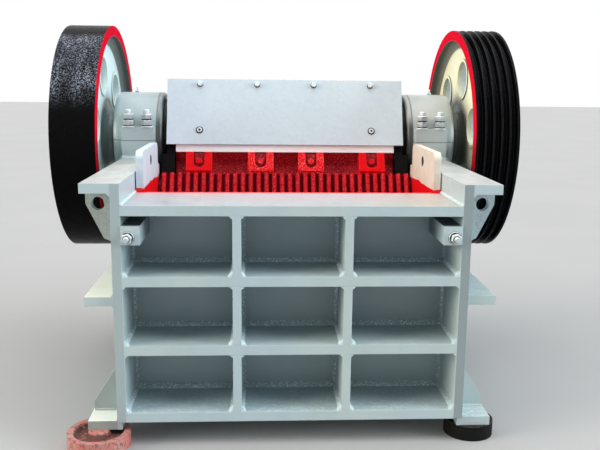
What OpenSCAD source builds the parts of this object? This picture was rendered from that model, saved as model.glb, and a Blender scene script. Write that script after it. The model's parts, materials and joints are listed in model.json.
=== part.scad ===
// Jaw crusher, wide-mouth single-toggle type, on four support discs.
// Frame coordinates used below: X across, Y back from the front plane, Z up from the underside of the frame.

/* [Frame] */
// Overall width over the two side plates
frame_w = 1340; // [1200:10:1500]
// Length of the side plates from front to back
frame_len = 1520; // [1460:10:1600]
// Thickness of the side plates
side_t = 35; // [25:1:50]
// Height of the side plates above the underside of the frame
side_top = 925; // [900:5:960]
// Height of the side plates at their rear end
side_rear_top = 760; // [700:10:800]
// Clipped corner of the side plates at their rear end
rear_clip = 60; // [20:5:90]
// Thickness of the flange along the top of each side plate
flange_t = 37; // [25:1:50]
// Reach of that flange outside the side plate
flange_reach = 110; // [90:5:120]
// Vertical distance between the horizontal shelves of the front
shelf_pitch = 268.5; // [255:0.5:275]
// Thickness of the shelves and of the feed lip
shelf_t = 38; // [28:1:48]
// Thickness of the front wall behind the compartments
front_wall_t = 50; // [35:1:60]
// Thickness of the front uprights
upright_t = 32; // [20:1:45]
// Distance of each front upright from the middle, to its centre
upright_x = 210; // [150:5:260]
// Clipped corner of the front uprights
upright_clip = 22; // [5:1:40]
// How far the feed lip reaches behind the front wall
lip_over = 50; // [34:2:60]

/* [Rear frame] */
// Depth of the open compartments at the back
rear_bay = 142; // [120:2:160]
// Thickness of the rear wall and its shelves
rear_t = 38; // [25:1:45]

/* [Side fittings] */
// Height of the side ledge, to its underside
ledge_z = 459; // [380:1:600]
// Thickness of the side ledge
ledge_t = 35; // [20:1:50]
// Reach of the side ledge outside the side plate
ledge_reach = 112; // [60:2:125]
// Setback of the side ledge from the front plane
ledge_setback = 19; // [0:1:40]
// Distance of the lifting bracket from the front plane
bracket_y = 83; // [40:1:150]
// Thickness of the lifting bracket
bracket_t = 32; // [20:1:45]
// Radius of the hole in the lifting bracket
bracket_hole_r = 25; // [15:1:28]
// Reach of the lifting bracket outside the side plate
bracket_reach = 105; // [95:1:110]
// Height of the lifting bracket
bracket_h = 200; // [160:5:240]
// Distance of the hole in the lifting bracket from the side plate
bracket_hole_x = 59; // [50:1:64]
// Distance of the hole in the lifting bracket below the flange
bracket_hole_z = 49; // [40:1:70]
// Section of the square clamp blocks in the top bays
block_size = 70; // [50:1:90]
// How far the clamp blocks stand proud of the front plane
block_proud = 5; // [0:1:12]
// Distance of the clamp blocks below the feed lip
block_drop = 38; // [20:1:60]

/* [Feet] */
// Thickness of the foot plates
foot_t = 36; // [20:1:50]
// Width of the foot plates
foot_w = 131; // [110:1:140]
// Length of the foot plates
foot_len = 260; // [200:5:320]
// Setback of the feet from the ends of the frame
foot_setback = 16; // [0:1:40]
// Thickness of the foot gussets
gusset_t = 28; // [15:1:40]
// Height of the foot gussets
gusset_h = 180; // [120:5:230]
// Setback of the foot gussets from the outer end of their foot
gusset_setback = 106; // [90:1:130]
// Radius of the anchor hole in each foot
anchor_r = 15; // [10:1:20]
// Distance of the anchor hole from the outer end of its foot
anchor_y = 200; // [185:5:225]
// Height of the support discs
disc_h = 60; // [40:1:90]
// Radius of the left support discs
disc_left_r = 120; // [100:1:125]
// How far outside the side plates the centres of the left support discs lie
disc_left_out = 74; // [60:1:90]
// Setback of the left support discs from the ends of the frame, to their centre
disc_left_y = 14; // [0:1:40]
// Radius of the right support discs
disc_right_r = 97; // [80:1:105]
// How far outside the side plates the centres of the right support discs lie
disc_right_out = 51; // [30:1:70]
// Setback of the right support discs from the ends of the frame, to their centre
disc_right_y = 92; // [70:1:100]

/* [Shaft and bearings] */
// Distance of the shaft axis from the rear end of the frame
shaft_back = 380; // [372:2:388]
// Distance of the shaft axis from the back of the front wall
wall_to_shaft = 832; // [824:2:840]
// Height of the shaft axis above the underside of the frame
shaft_z = 1010; // [1000:1:1030]
// Throw of the eccentric
ecc = 10; // [6:1:14]
// Radius of the eccentric part of the shaft
ecc_r = 110; // [100:1:125]
// Radius of the shaft in the main bearings
journal_r = 95; // [80:1:100]
// Radius of the shaft ends that carry the wheels
wheel_seat_r = 80; // [60:1:90]
// Radius of the shaft tips outside the wheels
tip_r = 72; // [50:1:78]
// Length of the shaft tips outside the wheels
tip_len = 48; // [30:1:60]
// How far the shaft stands out beyond each side plate
shaft_overhang = 426; // [410:2:450]
// Outer radius of the bearing housings
housing_r = 222; // [205:1:230]
// How far each housing stands inside its side plate
housing_inset = 45; // [38:1:52]
// Gap between each housing and the inner edge of its wheel rim
wheel_gap = 13; // [10:1:40]
// Rounding of the inner edge of each housing
housing_round_in = 14; // [4:1:24]
// Rounding of the outer edge of each housing
housing_round_out = 26; // [4:1:34]
// Length of the bolted lugs of each housing along the frame
lug_span = 510; // [490:2:530]
// Setback of the bolted lugs from the inner end of the housing
lug_inset = 36; // [26:1:46]
// Setback of the bolted lugs from the outer end of the housing
lug_outset = 49; // [40:1:60]
// Thickness of the bolted lugs of the bearing cap
lug_h = 63; // [40:1:80]
// Radius of the black seal ring between jaw and housing
seal_r = 190; // [150:1:200]
// Thickness of the seal ring
seal_t = 15; // [8:1:16]

/* [Wheels] */
// Outer radius of the flywheel and the pulley
wheel_r = 540; // [500:1:560]
// Width of the wheel rims
rim_w = 200; // [160:5:220]
// Thickness of the wheel rims
rim_t = 50; // [40:1:70]
// Depth of the web behind the inner rim edge
web_recess = 47; // [20:1:80]
// Thickness of the wheel webs
web_t = 42; // [25:1:60]
// Radius of the wheel hubs
hub_r = 128; // [110:1:160]
// Radius of the fillet between hub and web
hub_fillet = 40; // [10:1:44]
// Radius of the fillet between rim and web
rim_fillet = 26; // [6:1:34]
// Width of the raised lip round each lightening hole
lip_w = 13; // [6:1:20]
// Height of that lip above the web
lip_rise = 5; // [2:0.5:8]
// Radius of the lightening holes
hole_r = 86; // [50:1:95]
// Radius of the circle that the lightening holes lie on
hole_circle_r = 312; // [290:1:330]
// Number of lightening holes
hole_count = 6; // [4:1:6]
// Number of belt grooves in the pulley
groove_count = 5; // [3:1:5]
// Distance between the belt grooves
groove_pitch = 37; // [34:0.5:38]
// Depth of the belt grooves
groove_depth = 26; // [12:1:28]

/* [Swing jaw] */
// Lean of the swing jaw from the vertical
jaw_tilt = 25; // [24:0.5:25.5]
// Distance of the tooth tips from the eccentric centre
jaw_face = 226; // [220:1:230]
// Gap between the swing jaw body and each cheek plate
jaw_side_gap = 10; // [6:1:20]
// Outer radius of the jaw head
head_r = 208; // [200:1:212]
// Gap between the jaw head and each housing
head_gap = 22; // [22:1:40]
// Top of the swing jaw plate below the eccentric centre, along the jaw
plate_top = 252; // [240:1:262]
// Bottom of the swing jaw plate below the eccentric centre, along the jaw
plate_bottom = 1085; // [1040:5:1090]

/* [Jaw plates] */
// Gap between each cheek plate and the side plate behind it
cheek_gap = 5; // [2:1:40]
// Thickness of the jaw plates without their teeth
plate_t = 62; // [40:1:70]
// Height of the teeth
tooth_h = 28; // [15:1:32]
// Distance between the teeth
tooth_pitch = 37; // [30:0.5:44]
// Thickness of the cheek plates
cheek_t = 30; // [20:1:34]
// Top of the cheek plate lugs
cheek_top = 1009; // [980:1:1040]
// Distance of the rear end of the cheek plate lugs from the shaft axis
cheek_rear_gap = 314; // [296:2:360]
// Corner radius of the cheek plate lugs
cheek_lug_r = 34; // [10:1:45]
// Radius of the lifting hole in each cheek plate lug
cheek_hole_r = 22; // [14:1:26]
// Distance of that hole from the rear end of its lug
cheek_hole_gap = 231; // [180:1:270]
// Height of that hole above the underside of the frame
cheek_hole_z = 950; // [940:1:960]

/* [Wedges and guard] */
// Width of the jaw plate wedges
wedge_w = 122; // [90:1:140]
// Height of the jaw plate wedges
wedge_h = 106; // [88:1:106]
// Distance of the inner wedges from the middle
wedge_x1 = 120; // [90:5:150]
// Distance of the outer wedges from the ends of the strip, to their centre
wedge_inset = 112; // [80:2:160]
// Thickness of the guard plate
guard_t = 12; // [8:1:16]
// Height of the guard plate along its slope
guard_h = 324; // [300:2:340]
// How far the guard plate hangs below the eccentric centre
guard_drop = 85; // [60:1:100]
// Lean of the guard plate against the jaw
guard_lean = 5.4; // [0:0.2:7]
// Setback of the strip under the guard plate from the ends of the jaw head
strip_inset = 44; // [42:2:90]

/* [Toggle and tension rods] */
// Radius of the rounded ends of the toggle plate
toggle_r = 20; // [12:1:26]
// Gap between the toggle plate and each side plate
toggle_inset = 235; // [215:5:275]
// Height of the rear toggle seat
toggle_rear_z = 215; // [190:5:240]
// Room for the shims between the toggle beam and the rear wall
shim_room = 40; // [20:1:48]
// Radius of the tension rods
rod_r = 16; // [10:1:20]
// Distance of the tension rods from the side plates
rod_inset = 140; // [135:1:145]
// Mean radius of the tension springs
spring_r = 30; // [26:1:32]
// Radius of the spring wire
wire_r = 7; // [5:0.5:7.5]

/* [Fits] */
// Gap between pieces that seat on each other
seat = 0.3; // [0.1:0.1:0.5]
// Running gap round the shaft
run = 0.05; // [0.02:0.01:0.1]
// Least gap between a moving piece and a fixed one
clear = 6; // [5:1:8]

/* [Hidden] */
side_x = frame_w / 2 - side_t;
shaft_drop = foot_t + disc_h;
shaft_y = frame_len - shaft_back;
front_wall_back = shaft_y - wall_to_shaft;
bay_depth = front_wall_back - front_wall_t;
lip_depth = front_wall_back + lip_over;
rear_wall_y = frame_len - rear_bay - rear_t;
disc_left_x = frame_w / 2 + disc_left_out;
disc_right_x = frame_w / 2 + disc_right_out;
rear_reach = shaft_y + wheel_r;
front_reach = min(disc_left_y - disc_left_r, -block_proud);
front_y = -(rear_reach + front_reach) / 2;
flange_end = shaft_y + lug_span / 2 + 20;
lip_z = 3 * shelf_pitch;
bar_bottom = 40;
bar_top = 80;
bar_reach = 40;
rod_hole_r = rod_r + 8;
cheek_front = lip_depth + 4;
cheek_rear = shaft_y - cheek_rear_gap;
cheek_hole_y = cheek_rear - cheek_hole_gap;
cheek_foot_y = shaft_y - 520;
cheek_edge_drop = 20;
cheek_edge_z = side_top - cheek_edge_drop;
cheek_edge_reach = 40;
cheek_lug_root = 120;
cheek_pad_h = 90;
cheek_pad_inset = 60;
cheek_pad_rise = 80;
cheek_pad_drop = 75.5;
mouth_w = 2 * (side_x - cheek_gap - cheek_t);
jaw_half_w = mouth_w / 2 - jaw_side_gap;
jaw_bore_r = ecc_r + run;
plate_back = jaw_face - plate_t - tooth_h;
teeth_w = mouth_w - 2 * (clear + 2);
foot_x = frame_w / 2 + flange_reach + 5 - foot_w;
foot_end_x = foot_x + foot_w;
anchor_inset = 42;
anchor_x = foot_end_x - anchor_inset;
hub_proud = 10;
shaft_end = frame_w / 2 + shaft_overhang;
hub_end = shaft_end - tip_len;
tip_relief = 2;
wheel_x = hub_end - hub_proud - rim_w;
hub_gap = 15;
housing_x = side_x - housing_inset;
housing_end = wheel_x - wheel_gap;
housing_len = housing_end - housing_x;
wheel_hub_x = housing_end + hub_gap;
hub_len = hub_end - wheel_hub_x;
head_half_w = housing_x - head_gap;
strip_half_w = head_half_w - strip_inset;
wedge_x2 = strip_half_w - wedge_inset;
lug_x = housing_x + lug_inset;
lug_w = housing_len - lug_inset - lug_outset;
lug_y = shaft_y - lug_span / 2;
toggle_half_w = side_x - toggle_inset;
toggle_seat_depth = 112;
toggle_seat_drop = 955;
toggle_seat = [toggle_seat_depth, -toggle_seat_drop];
toggle_play = 5;
toggle_seat_r = toggle_r + ecc + toggle_play;
toggle_seat_half = 62;
toggle_seat_half_w = toggle_half_w + 20;
toggle_side = 40;
seat_y = shaft_y + toggle_seat[0] * cos(jaw_tilt) + toggle_seat[1] * sin(jaw_tilt);
seat_z = shaft_z - ecc - toggle_seat[0] * sin(jaw_tilt) + toggle_seat[1] * cos(jaw_tilt);
beam_t = 72;
toggle_rear_y = rear_wall_y - shim_room - beam_t;
toggle_dy = toggle_rear_y - seat_y;
toggle_dz = toggle_rear_z - (seat_z + ecc);
toggle_angle = atan2(toggle_dz, toggle_dy);
toggle_len = norm([toggle_dy, toggle_dz]);
seat_across = [-sin(toggle_angle + jaw_tilt), cos(toggle_angle + jaw_tilt)] * toggle_seat_half;
beam_face_y = toggle_rear_y + toggle_r * abs(sin(toggle_angle));
beam_half_h = 85;
groove_half_w = toggle_half_w + 10;
shim_half_h = 75;
shim_inset = 60;
rod_pin_r = 14;
rod_eye_r = rod_pin_r + ecc + 2;
rod_x = side_x - rod_inset;
rod_y = seat_y - 62;
rod_z = 68;
rod_eye_t = 24;
rod_eye_wall = 12;
rod_nut_h = 24;
rod_tail = 60;
nut_r = 26;
washer_t = 12;
spring_room = 150;
spring_turns = 5;
slab_back = -48;
slab_bottom = -plate_bottom - 10;
slab_shoulder_y = -120;
slab_shoulder_z = -60;
side_block_front = 20;
side_block_top = -96;
side_block_rise = 8;
side_block_gap = 4;
head_top = 212;
head_crown_inset = 4;
rib_t = 28;
rib_pitch = (head_half_w - rib_t / 2 - 1) / 2;
rib_top_y = 118;
rib_low_y = 72;
rib_foot_gap = 8;
outer_rib_rise = 95;
outer_rib_root = 35;
lug_gap = 32;
lug_half_t = 10;
rod_lug_r = 26;
rod_lug_rise = 60;
rod_lug_heel = 16;
rod_lug_mid = 80;
rod_lug_top = 115;
rod_lug_reach = 130;
wheel_inner_r = wheel_r - rim_t;
rim_start = wheel_x - wheel_hub_x;
web_start = rim_start + web_recess;
wheel_bore_r = wheel_seat_r + run;
fillet_steps = 4;
groove_margin = 6;
wedge_bottom = -plate_top + seat;
wedge_top = wedge_bottom + wedge_h;
wedge_slot_r = 26;
wedge_slot_drop = 52;
wedge_slot_y = -plate_back - 30;
strip_t = 8;
strip_drop = 34;
strip_lap = 20;
eye_r = 30;
eye_hole_r = 16;
eye_t = 24;
eye_rise = 34;
eye_y = -110;

pale = [0.72, 0.80, 0.78];
signal_red = [0.83, 0.06, 0.10];
black = [0.05, 0.05, 0.06];
steel = [0.55, 0.56, 0.57];
dark_iron = [0.25, 0.25, 0.26];

// Placing helpers

module in_frame() {
    translate([0, front_y, shaft_drop]) children();
}

module in_jaw() {
    in_frame() translate([0, shaft_y, shaft_z - ecc]) rotate([-jaw_tilt, 0, 0]) children();
}

module sided(side) {
    if (side < 0) mirror([1, 0, 0]) children();
    else children();
}

module both_sides() {
    for (side = [-1, 1]) sided(side) children();
}

// Turns a piece of the front end into its copy at the rear end
module at_rear() {
    translate([0, frame_len, 0]) mirror([0, 1, 0]) children();
}

// Extrudes an outline drawn in Y and Z from x0 to x1
module along_x(x0, x1) {
    translate([x0, 0, 0]) rotate([90, 0, 90]) linear_extrude(x1 - x0) children();
}

module rod_x_axis(x0, x1, r, sides = 72) {
    translate([x0, 0, 0]) rotate([0, 90, 0]) cylinder(h = x1 - x0, r = r, $fn = sides);
}

module box(x0, x1, y0, y1, z0, z1) {
    translate([x0, y0, z0]) cube([x1 - x0, y1 - y0, z1 - z0]);
}

// Rectangle with round corners, made of exact squares and circles
module rounded_rect(w, h, r) {
    translate([r, 0]) square([w - 2 * r, h]);
    translate([0, r]) square([w, h - 2 * r]);
    for (x = [r, w - r], y = [r, h - r]) translate([x, y]) circle(r = r, $fn = 32);
}

// Frame

module housing_room(gap) {
    along_x(0, 2 * frame_w) translate([shaft_y, shaft_z]) circle(r = housing_r + gap, $fn = 96);
}

module side_plate() {
    difference() {
        along_x(side_x, frame_w / 2) polygon([
            [0, 0], [frame_len, 0], [frame_len, side_rear_top - rear_clip],
            [frame_len - rear_clip, side_rear_top], [flange_end, side_top], [0, side_top]
        ]);
        housing_room(seat);
    }
}

module side_plate_left() {
    color(pale) in_frame() sided(-1) side_plate();
}

module side_plate_right() {
    color(pale) in_frame() side_plate();
}

module top_flange() {
    difference() {
        box(frame_w / 2, frame_w / 2 + flange_reach, 0, flange_end, side_top - flange_t, side_top);
        housing_room(seat);
    }
}

module top_flange_left() {
    color(pale) in_frame() sided(-1) top_flange();
}

module top_flange_right() {
    color(pale) in_frame() top_flange();
}

// Front wall, with the bar that the fixed jaw plate stands on
module front_wall() {
    color(pale) in_frame() {
        box(-side_x, side_x, bay_depth, front_wall_back, 0, lip_z);
        box(-side_x, side_x, front_wall_back - 1, front_wall_back + bar_reach, bar_bottom, bar_top);
    }
}

module front_shelf(level) {
    color(pale) in_frame()
        box(-side_x, side_x, 0, bay_depth, level * shelf_pitch, level * shelf_pitch + shelf_t);
}

module front_shelf_bottom() {
    front_shelf(0);
}

module front_shelf_middle() {
    front_shelf(1);
}

module front_shelf_upper() {
    front_shelf(2);
}

// One upright between two shelves, with its four corners clipped for the welds
module upright_piece(depth, z0, z1) {
    c = upright_clip;
    along_x(-upright_t / 2, upright_t / 2) polygon([
        [0, z0], [depth - c, z0], [depth, z0 + c], [depth, z1 - c], [depth - c, z1], [0, z1]
    ]);
}

module front_uprights() {
    color(pale) in_frame() for (x = [-upright_x, upright_x], level = [0 : 2])
        translate([x, 0, 0])
            upright_piece(bay_depth, level * shelf_pitch + shelf_t, (level + 1) * shelf_pitch);
}

module feed_lip() {
    color(pale) in_frame() box(-side_x, side_x, 0, lip_depth, lip_z, lip_z + shelf_t);
}

// Rear wall, bored for the two tension rods
module rear_wall() {
    color(pale) in_frame() difference() {
        box(-side_x, side_x, rear_wall_y, rear_wall_y + rear_t, 0, side_rear_top);
        for (x = [-rod_x, rod_x])
            translate([x, rear_wall_y - 1, rod_z + ecc]) rotate([-90, 0, 0])
                cylinder(h = rear_t + 2, r = rod_hole_r, $fn = 48);
    }
}

function rear_shelf_z(level) = level * (side_rear_top - rear_t) / 2;

module rear_shelves() {
    color(pale) in_frame() for (level = [0 : 2])
        box(-side_x, side_x, rear_wall_y + rear_t, frame_len,
            rear_shelf_z(level), rear_shelf_z(level) + rear_t);
}

module rear_uprights() {
    depth = frame_len - rear_wall_y - rear_t;
    color(pale) in_frame() for (x = [-upright_x, upright_x], level = [0 : 1])
        translate([x, 0, 0]) at_rear()
            upright_piece(depth, rear_shelf_z(level) + rear_t, rear_shelf_z(level + 1));
}

// Jaw and cheek plates

// Row of flat-topped teeth: x runs across, y is the height above the back of the plate
module tooth_outline(width) {
    count = floor(width / tooth_pitch);
    start = -count * tooth_pitch / 2;
    crest = 0.16 * tooth_pitch;
    slope = 0.32 * tooth_pitch;
    polygon(concat(
        [[-width / 2, 0]],
        [[-width / 2, plate_t]],
        [for (i = [0 : count - 1], p = [
            [0.5 * tooth_pitch - crest - slope, plate_t],
            [0.5 * tooth_pitch - crest, plate_t + tooth_h],
            [0.5 * tooth_pitch + crest, plate_t + tooth_h],
            [0.5 * tooth_pitch + crest + slope, plate_t]
        ]) [start + i * tooth_pitch + p[0], p[1]]],
        [[width / 2, plate_t]],
        [[width / 2, 0]]
    ));
}

module fixed_jaw_plate() {
    color(signal_red) in_frame()
        translate([0, front_wall_back + seat, bar_top + seat])
            linear_extrude(lip_z - bar_top - 2 * seat) tooth_outline(mouth_w - 1);
}

// Cheek plate with its tall lug and lifting hole, standing off the side plate on two pads
module cheek_plate() {
    inner = mouth_w / 2;
    pad_back = side_x - seat;
    y0 = front_wall_back + seat;
    bottom_z = bar_top + seat;
    edge_rear = cheek_rear + cheek_edge_reach;
    difference() {
        union() {
            along_x(inner, inner + cheek_t) {
                polygon([
                    [y0, bottom_z], [cheek_foot_y, bottom_z], [edge_rear, cheek_edge_z - cheek_edge_reach],
                    [edge_rear, cheek_edge_z], [cheek_front, cheek_edge_z], [cheek_front, lip_z - seat],
                    [y0, lip_z - seat]
                ]);
                translate([cheek_front, side_top - cheek_lug_root]) rounded_rect(
                    cheek_rear - cheek_front, cheek_top - side_top + cheek_lug_root, cheek_lug_r);
            }
            for (z = [bar_top + cheek_pad_rise, lip_z - cheek_pad_drop - cheek_pad_h])
                box(inner + cheek_t - 1, pad_back, y0 + cheek_pad_inset, cheek_foot_y - cheek_pad_inset / 3,
                    z, z + cheek_pad_h);
        }
        translate([inner - 1, cheek_hole_y, cheek_hole_z]) rod_x_axis(0, cheek_t + 2, cheek_hole_r, 48);
    }
}

module cheek_plate_left() {
    color(pale) in_frame() sided(-1) cheek_plate();
}

module cheek_plate_right() {
    color(pale) in_frame() cheek_plate();
}

// Square clamp blocks that run back to the front wall
module clamp_blocks() {
    top = lip_z - block_drop;
    color(pale) in_frame() both_sides()
        box(side_x - block_size, side_x, -block_proud, bay_depth, top - block_size, top);
}

// Side fittings

module lifting_brackets() {
    x0 = frame_w / 2;
    top = side_top - flange_t;
    toe = 18;
    heel_x = 41;
    color(pale) in_frame() both_sides() translate([0, bracket_y + bracket_t, 0]) rotate([90, 0, 0])
        linear_extrude(bracket_t) difference() {
            polygon([
                [x0, top - bracket_h], [x0 + heel_x, top - bracket_h + toe],
                [x0 + bracket_reach, top - bracket_hole_z], [x0 + bracket_reach, top], [x0, top]
            ]);
            translate([x0 + bracket_hole_x, top - bracket_hole_z]) circle(r = bracket_hole_r, $fn = 48);
        }
}

module side_ledges() {
    color(pale) in_frame() both_sides()
        box(frame_w / 2, frame_w / 2 + ledge_reach, ledge_setback, frame_len - ledge_setback,
            ledge_z, ledge_z + ledge_t);
}

// Foot plate with its anchor hole and one sloping gusset, notched at the side plate
module foot() {
    x0 = frame_w / 2;
    y0 = foot_setback;
    notch = 14;
    shoulder = 20;
    toe_h = 38;
    toe_x = foot_end_x - 5;
    difference() {
        box(foot_x, foot_end_x, y0, y0 + foot_len, -foot_t, 0);
        translate([anchor_x, y0 + anchor_y, -foot_t - 1]) cylinder(h = foot_t + 2, r = anchor_r, $fn = 48);
    }
    translate([0, y0 + gusset_setback + gusset_t, 0]) rotate([90, 0, 0]) linear_extrude(gusset_t) polygon([
        [x0 + notch, 0], [x0, notch], [x0, gusset_h], [x0 + shoulder, gusset_h], [toe_x, toe_h], [toe_x, 0]
    ]);
}

module front_feet() {
    color(pale) in_frame() both_sides() foot();
}

module rear_feet() {
    color(pale) in_frame() at_rear() both_sides() foot();
}

// Round cast disc with a raised rim and a hub, used as a stand under a foot
module support_disc(r) {
    dish = 20;
    hub = 38;
    rotate_extrude($fn = 72) polygon([
        [0, 0], [r, 0], [r, disc_h], [r - 20, disc_h], [r - 34, disc_h - dish],
        [hub + 10, disc_h - dish], [hub, disc_h], [0, disc_h]
    ]);
}

// A disc under the front foot and its copy under the rear foot
module support_discs(x, y, r) {
    translate([x, y, -shaft_drop]) support_disc(r);
    at_rear() translate([x, y, -shaft_drop]) support_disc(r);
}

module support_discs_left() {
    color(signal_red) in_frame() support_discs(-disc_left_x, disc_left_y, disc_left_r);
}

module support_discs_right() {
    color(black) in_frame() support_discs(disc_right_x, disc_right_y, disc_right_r);
}

// Bearings

// Points of a quarter circle, for the rounded edges and fillets of turned pieces
function quarter(x, y, r, from) = [for (i = [0 : fillet_steps])
    let (a = from + 90 * i / fillet_steps) [x + r * cos(a), y + r * sin(a)]];

// Housing drum turned about the shaft axis: x is the radius, y runs outwards from its inner end
module housing_drum() {
    a = housing_round_in;
    b = housing_round_out;
    rotate([0, 90, 0]) rotate_extrude($fn = 96) polygon(concat(
        [[0, 0]], quarter(housing_r - a, a, a, -90), quarter(housing_r - b, housing_len - b, b, 0),
        [[0, housing_len]]
    ));
}

// Housing drum with its front and rear lug blocks; half is 1 for the cap and -1 for the seat
module housing_half(half) {
    lug_top = half > 0 ? shaft_z + lug_h : shaft_z - seat;
    lug_bottom = half > 0 ? shaft_z : side_top;
    keep_z = half > 0 ? shaft_z : shaft_z - 2 * housing_r;
    keep_h = half > 0 ? 2 * housing_r : 2 * housing_r - seat;
    difference() {
        union() {
            intersection() {
                translate([housing_x, shaft_y, shaft_z]) housing_drum();
                translate([0, shaft_y - 2 * housing_r, keep_z]) cube([2 * frame_w, 4 * housing_r, keep_h]);
            }
            box(lug_x, lug_x + lug_w, lug_y, lug_y + lug_span, lug_bottom, lug_top);
        }
        translate([0, shaft_y, shaft_z]) rod_x_axis(0, frame_w, journal_r + run, 96);
    }
}

module bearing_seat_left() {
    color(pale) in_frame() sided(-1) housing_half(-1);
}

module bearing_seat_right() {
    color(pale) in_frame() housing_half(-1);
}

module bearing_cap_left() {
    color(pale) in_frame() sided(-1) housing_half(1);
}

module bearing_cap_right() {
    color(pale) in_frame() housing_half(1);
}

module seal_rings() {
    color(black) in_frame() both_sides() translate([0, shaft_y, shaft_z]) difference() {
        rod_x_axis(housing_x - seal_t, housing_x - seat, seal_r);
        rod_x_axis(housing_x - seal_t - 1, housing_x + 1, journal_r + clear);
    }
}

// Toggle and tension rods

module toggle_plate() {
    color(dark_iron) in_frame()
        translate([0, seat_y, seat_z + ecc]) rotate([toggle_angle, 0, 0])
            along_x(-toggle_half_w, toggle_half_w) {
                translate([0, -toggle_r]) square([toggle_len, 2 * toggle_r]);
                circle(r = toggle_r, $fn = 48);
                translate([toggle_len, 0]) circle(r = toggle_r, $fn = 48);
            }
}

// Seat beam between the side plates, grooved for the rear end of the toggle plate
module toggle_beam() {
    color(pale) in_frame() difference() {
        box(-side_x + seat, side_x - seat, beam_face_y, toggle_rear_y + beam_t,
            toggle_rear_z - beam_half_h, toggle_rear_z + beam_half_h);
        translate([0, toggle_rear_y, toggle_rear_z])
            rod_x_axis(-groove_half_w, groove_half_w, toggle_r + seat, 48);
    }
}

module toggle_shims() {
    color(steel) in_frame()
        box(-side_x + shim_inset, side_x - shim_inset, toggle_rear_y + beam_t + seat, rear_wall_y - seat,
            toggle_rear_z - shim_half_h, toggle_rear_z + shim_half_h);
}

// Rod with an eye at the jaw and a washer and nut behind its spring
module tension_rod() {
    y_end = frame_len + rod_tail;
    eye_z = rod_z + ecc;
    eye_half_t = rod_eye_t / 2;
    rod_start = rod_y + rod_eye_r + rod_eye_wall / 3;
    difference() {
        union() {
            translate([0, rod_y, eye_z]) rod_x_axis(-eye_half_t, eye_half_t, rod_eye_r + rod_eye_wall, 48);
            translate([0, rod_start, eye_z]) rotate([-90, 0, 0])
                cylinder(h = y_end - rod_start, r = rod_r, $fn = 32);
            translate([0, rear_wall_y + rear_t + spring_room + seat, eye_z]) rotate([-90, 0, 0]) {
                cylinder(h = washer_t, r = spring_r + wire_r, $fn = 48);
                cylinder(h = washer_t + rod_nut_h, r = nut_r, $fn = 6);
            }
        }
        translate([0, rod_y, eye_z]) rod_x_axis(-eye_half_t - 1, eye_half_t + 1, rod_eye_r, 48);
    }
}

module tension_rods() {
    color(steel) in_frame() for (x = [-rod_x, rod_x]) translate([x, 0, 0]) tension_rod();
}

// Helical spring swept as one closed tube along Y
module spring_coil(length, turns) {
    turn_steps = 16;
    steps = turn_steps * turns;
    sides = 8;
    pitch = (length - 2 * wire_r) / turns;
    points = [for (i = [0 : steps], k = [0 : sides - 1])
        let (a = 360 * i / turn_steps, b = 360 * k / sides, r = spring_r + wire_r * cos(b))
        [r * cos(a), wire_r + pitch * i / turn_steps + wire_r * sin(b), r * sin(a)]];
    tube = [for (i = [0 : steps - 1], k = [0 : sides - 1])
        [i * sides + k, i * sides + (k + 1) % sides, (i + 1) * sides + (k + 1) % sides, (i + 1) * sides + k]];
    start = [[for (k = [sides - 1 : -1 : 0]) k]];
    end = [[for (k = [0 : sides - 1]) steps * sides + k]];
    polyhedron(points, concat(start, tube, end), convexity = 10);
}

module tension_springs() {
    color(black) in_frame() for (x = [-rod_x, rod_x])
        translate([x, rear_wall_y + rear_t + seat, rod_z + ecc])
            spring_coil(spring_room - seat, spring_turns);
}

// Shaft and wheels

module eccentric_shaft() {
    color(steel) in_frame() translate([0, shaft_y, shaft_z]) {
        rod_x_axis(-shaft_end, shaft_end, tip_r - tip_relief);
        both_sides() rod_x_axis(hub_end + tip_relief, shaft_end, tip_r);
        rod_x_axis(-hub_end, hub_end, wheel_seat_r);
        rod_x_axis(-housing_end, housing_end, journal_r, 96);
        translate([0, 0, -ecc]) rod_x_axis(-head_half_w, head_half_w, ecc_r, 96);
    }
}

// Outline of a rim: x is the radius, y runs outwards from the inner end of the hub
module rim_outline(grooved) {
    top_half = 0.42 * groove_pitch;
    floor_half = 0.24 * groove_pitch;
    difference() {
        translate([wheel_inner_r, rim_start]) square([rim_t, rim_w]);
        if (grooved) for (i = [0 : groove_count - 1]) {
            mid = rim_start + rim_w - groove_margin - groove_pitch * (groove_count - i - 0.5);
            polygon([
                [wheel_r + 1, mid - top_half], [wheel_r - groove_depth, mid - floor_half],
                [wheel_r - groove_depth, mid + floor_half], [wheel_r + 1, mid + top_half]
            ]);
        }
    }
}

// Outline of a web with its hub and the four fillets on its two faces
module web_outline() {
    web_end = web_start + web_t;
    translate([wheel_bore_r, web_start]) square([wheel_inner_r - wheel_bore_r, web_t]);
    translate([wheel_bore_r, 0]) square([hub_r - wheel_bore_r, hub_len]);
    for (face = [[web_start, -1], [web_end, 1]]) {
        hub_arc = quarter(hub_r + hub_fillet, 0, hub_fillet, 180);
        rim_arc = quarter(wheel_inner_r - rim_fillet, 0, rim_fillet, 270);
        translate([0, face[0]]) scale([1, face[1]]) {
            polygon(concat([[hub_r - 1, hub_fillet], [hub_r - 1, -1], [hub_r + hub_fillet, -1]],
                [for (p = [len(hub_arc) - 1 : -1 : 0]) [hub_arc[p][0], hub_arc[p][1] + hub_fillet]]));
            polygon(concat([[wheel_inner_r - rim_fillet, -1]],
                [for (p = rim_arc) [p[0], p[1] + rim_fillet]], [[wheel_inner_r, -1]]));
        }
    }
}

module at_wheel(side) {
    in_frame() sided(side) translate([wheel_hub_x, shaft_y, shaft_z]) rotate([0, 90, 0]) children();
}

module wheel_rim(grooved) {
    rotate_extrude($fn = 144) rim_outline(grooved);
}

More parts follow.
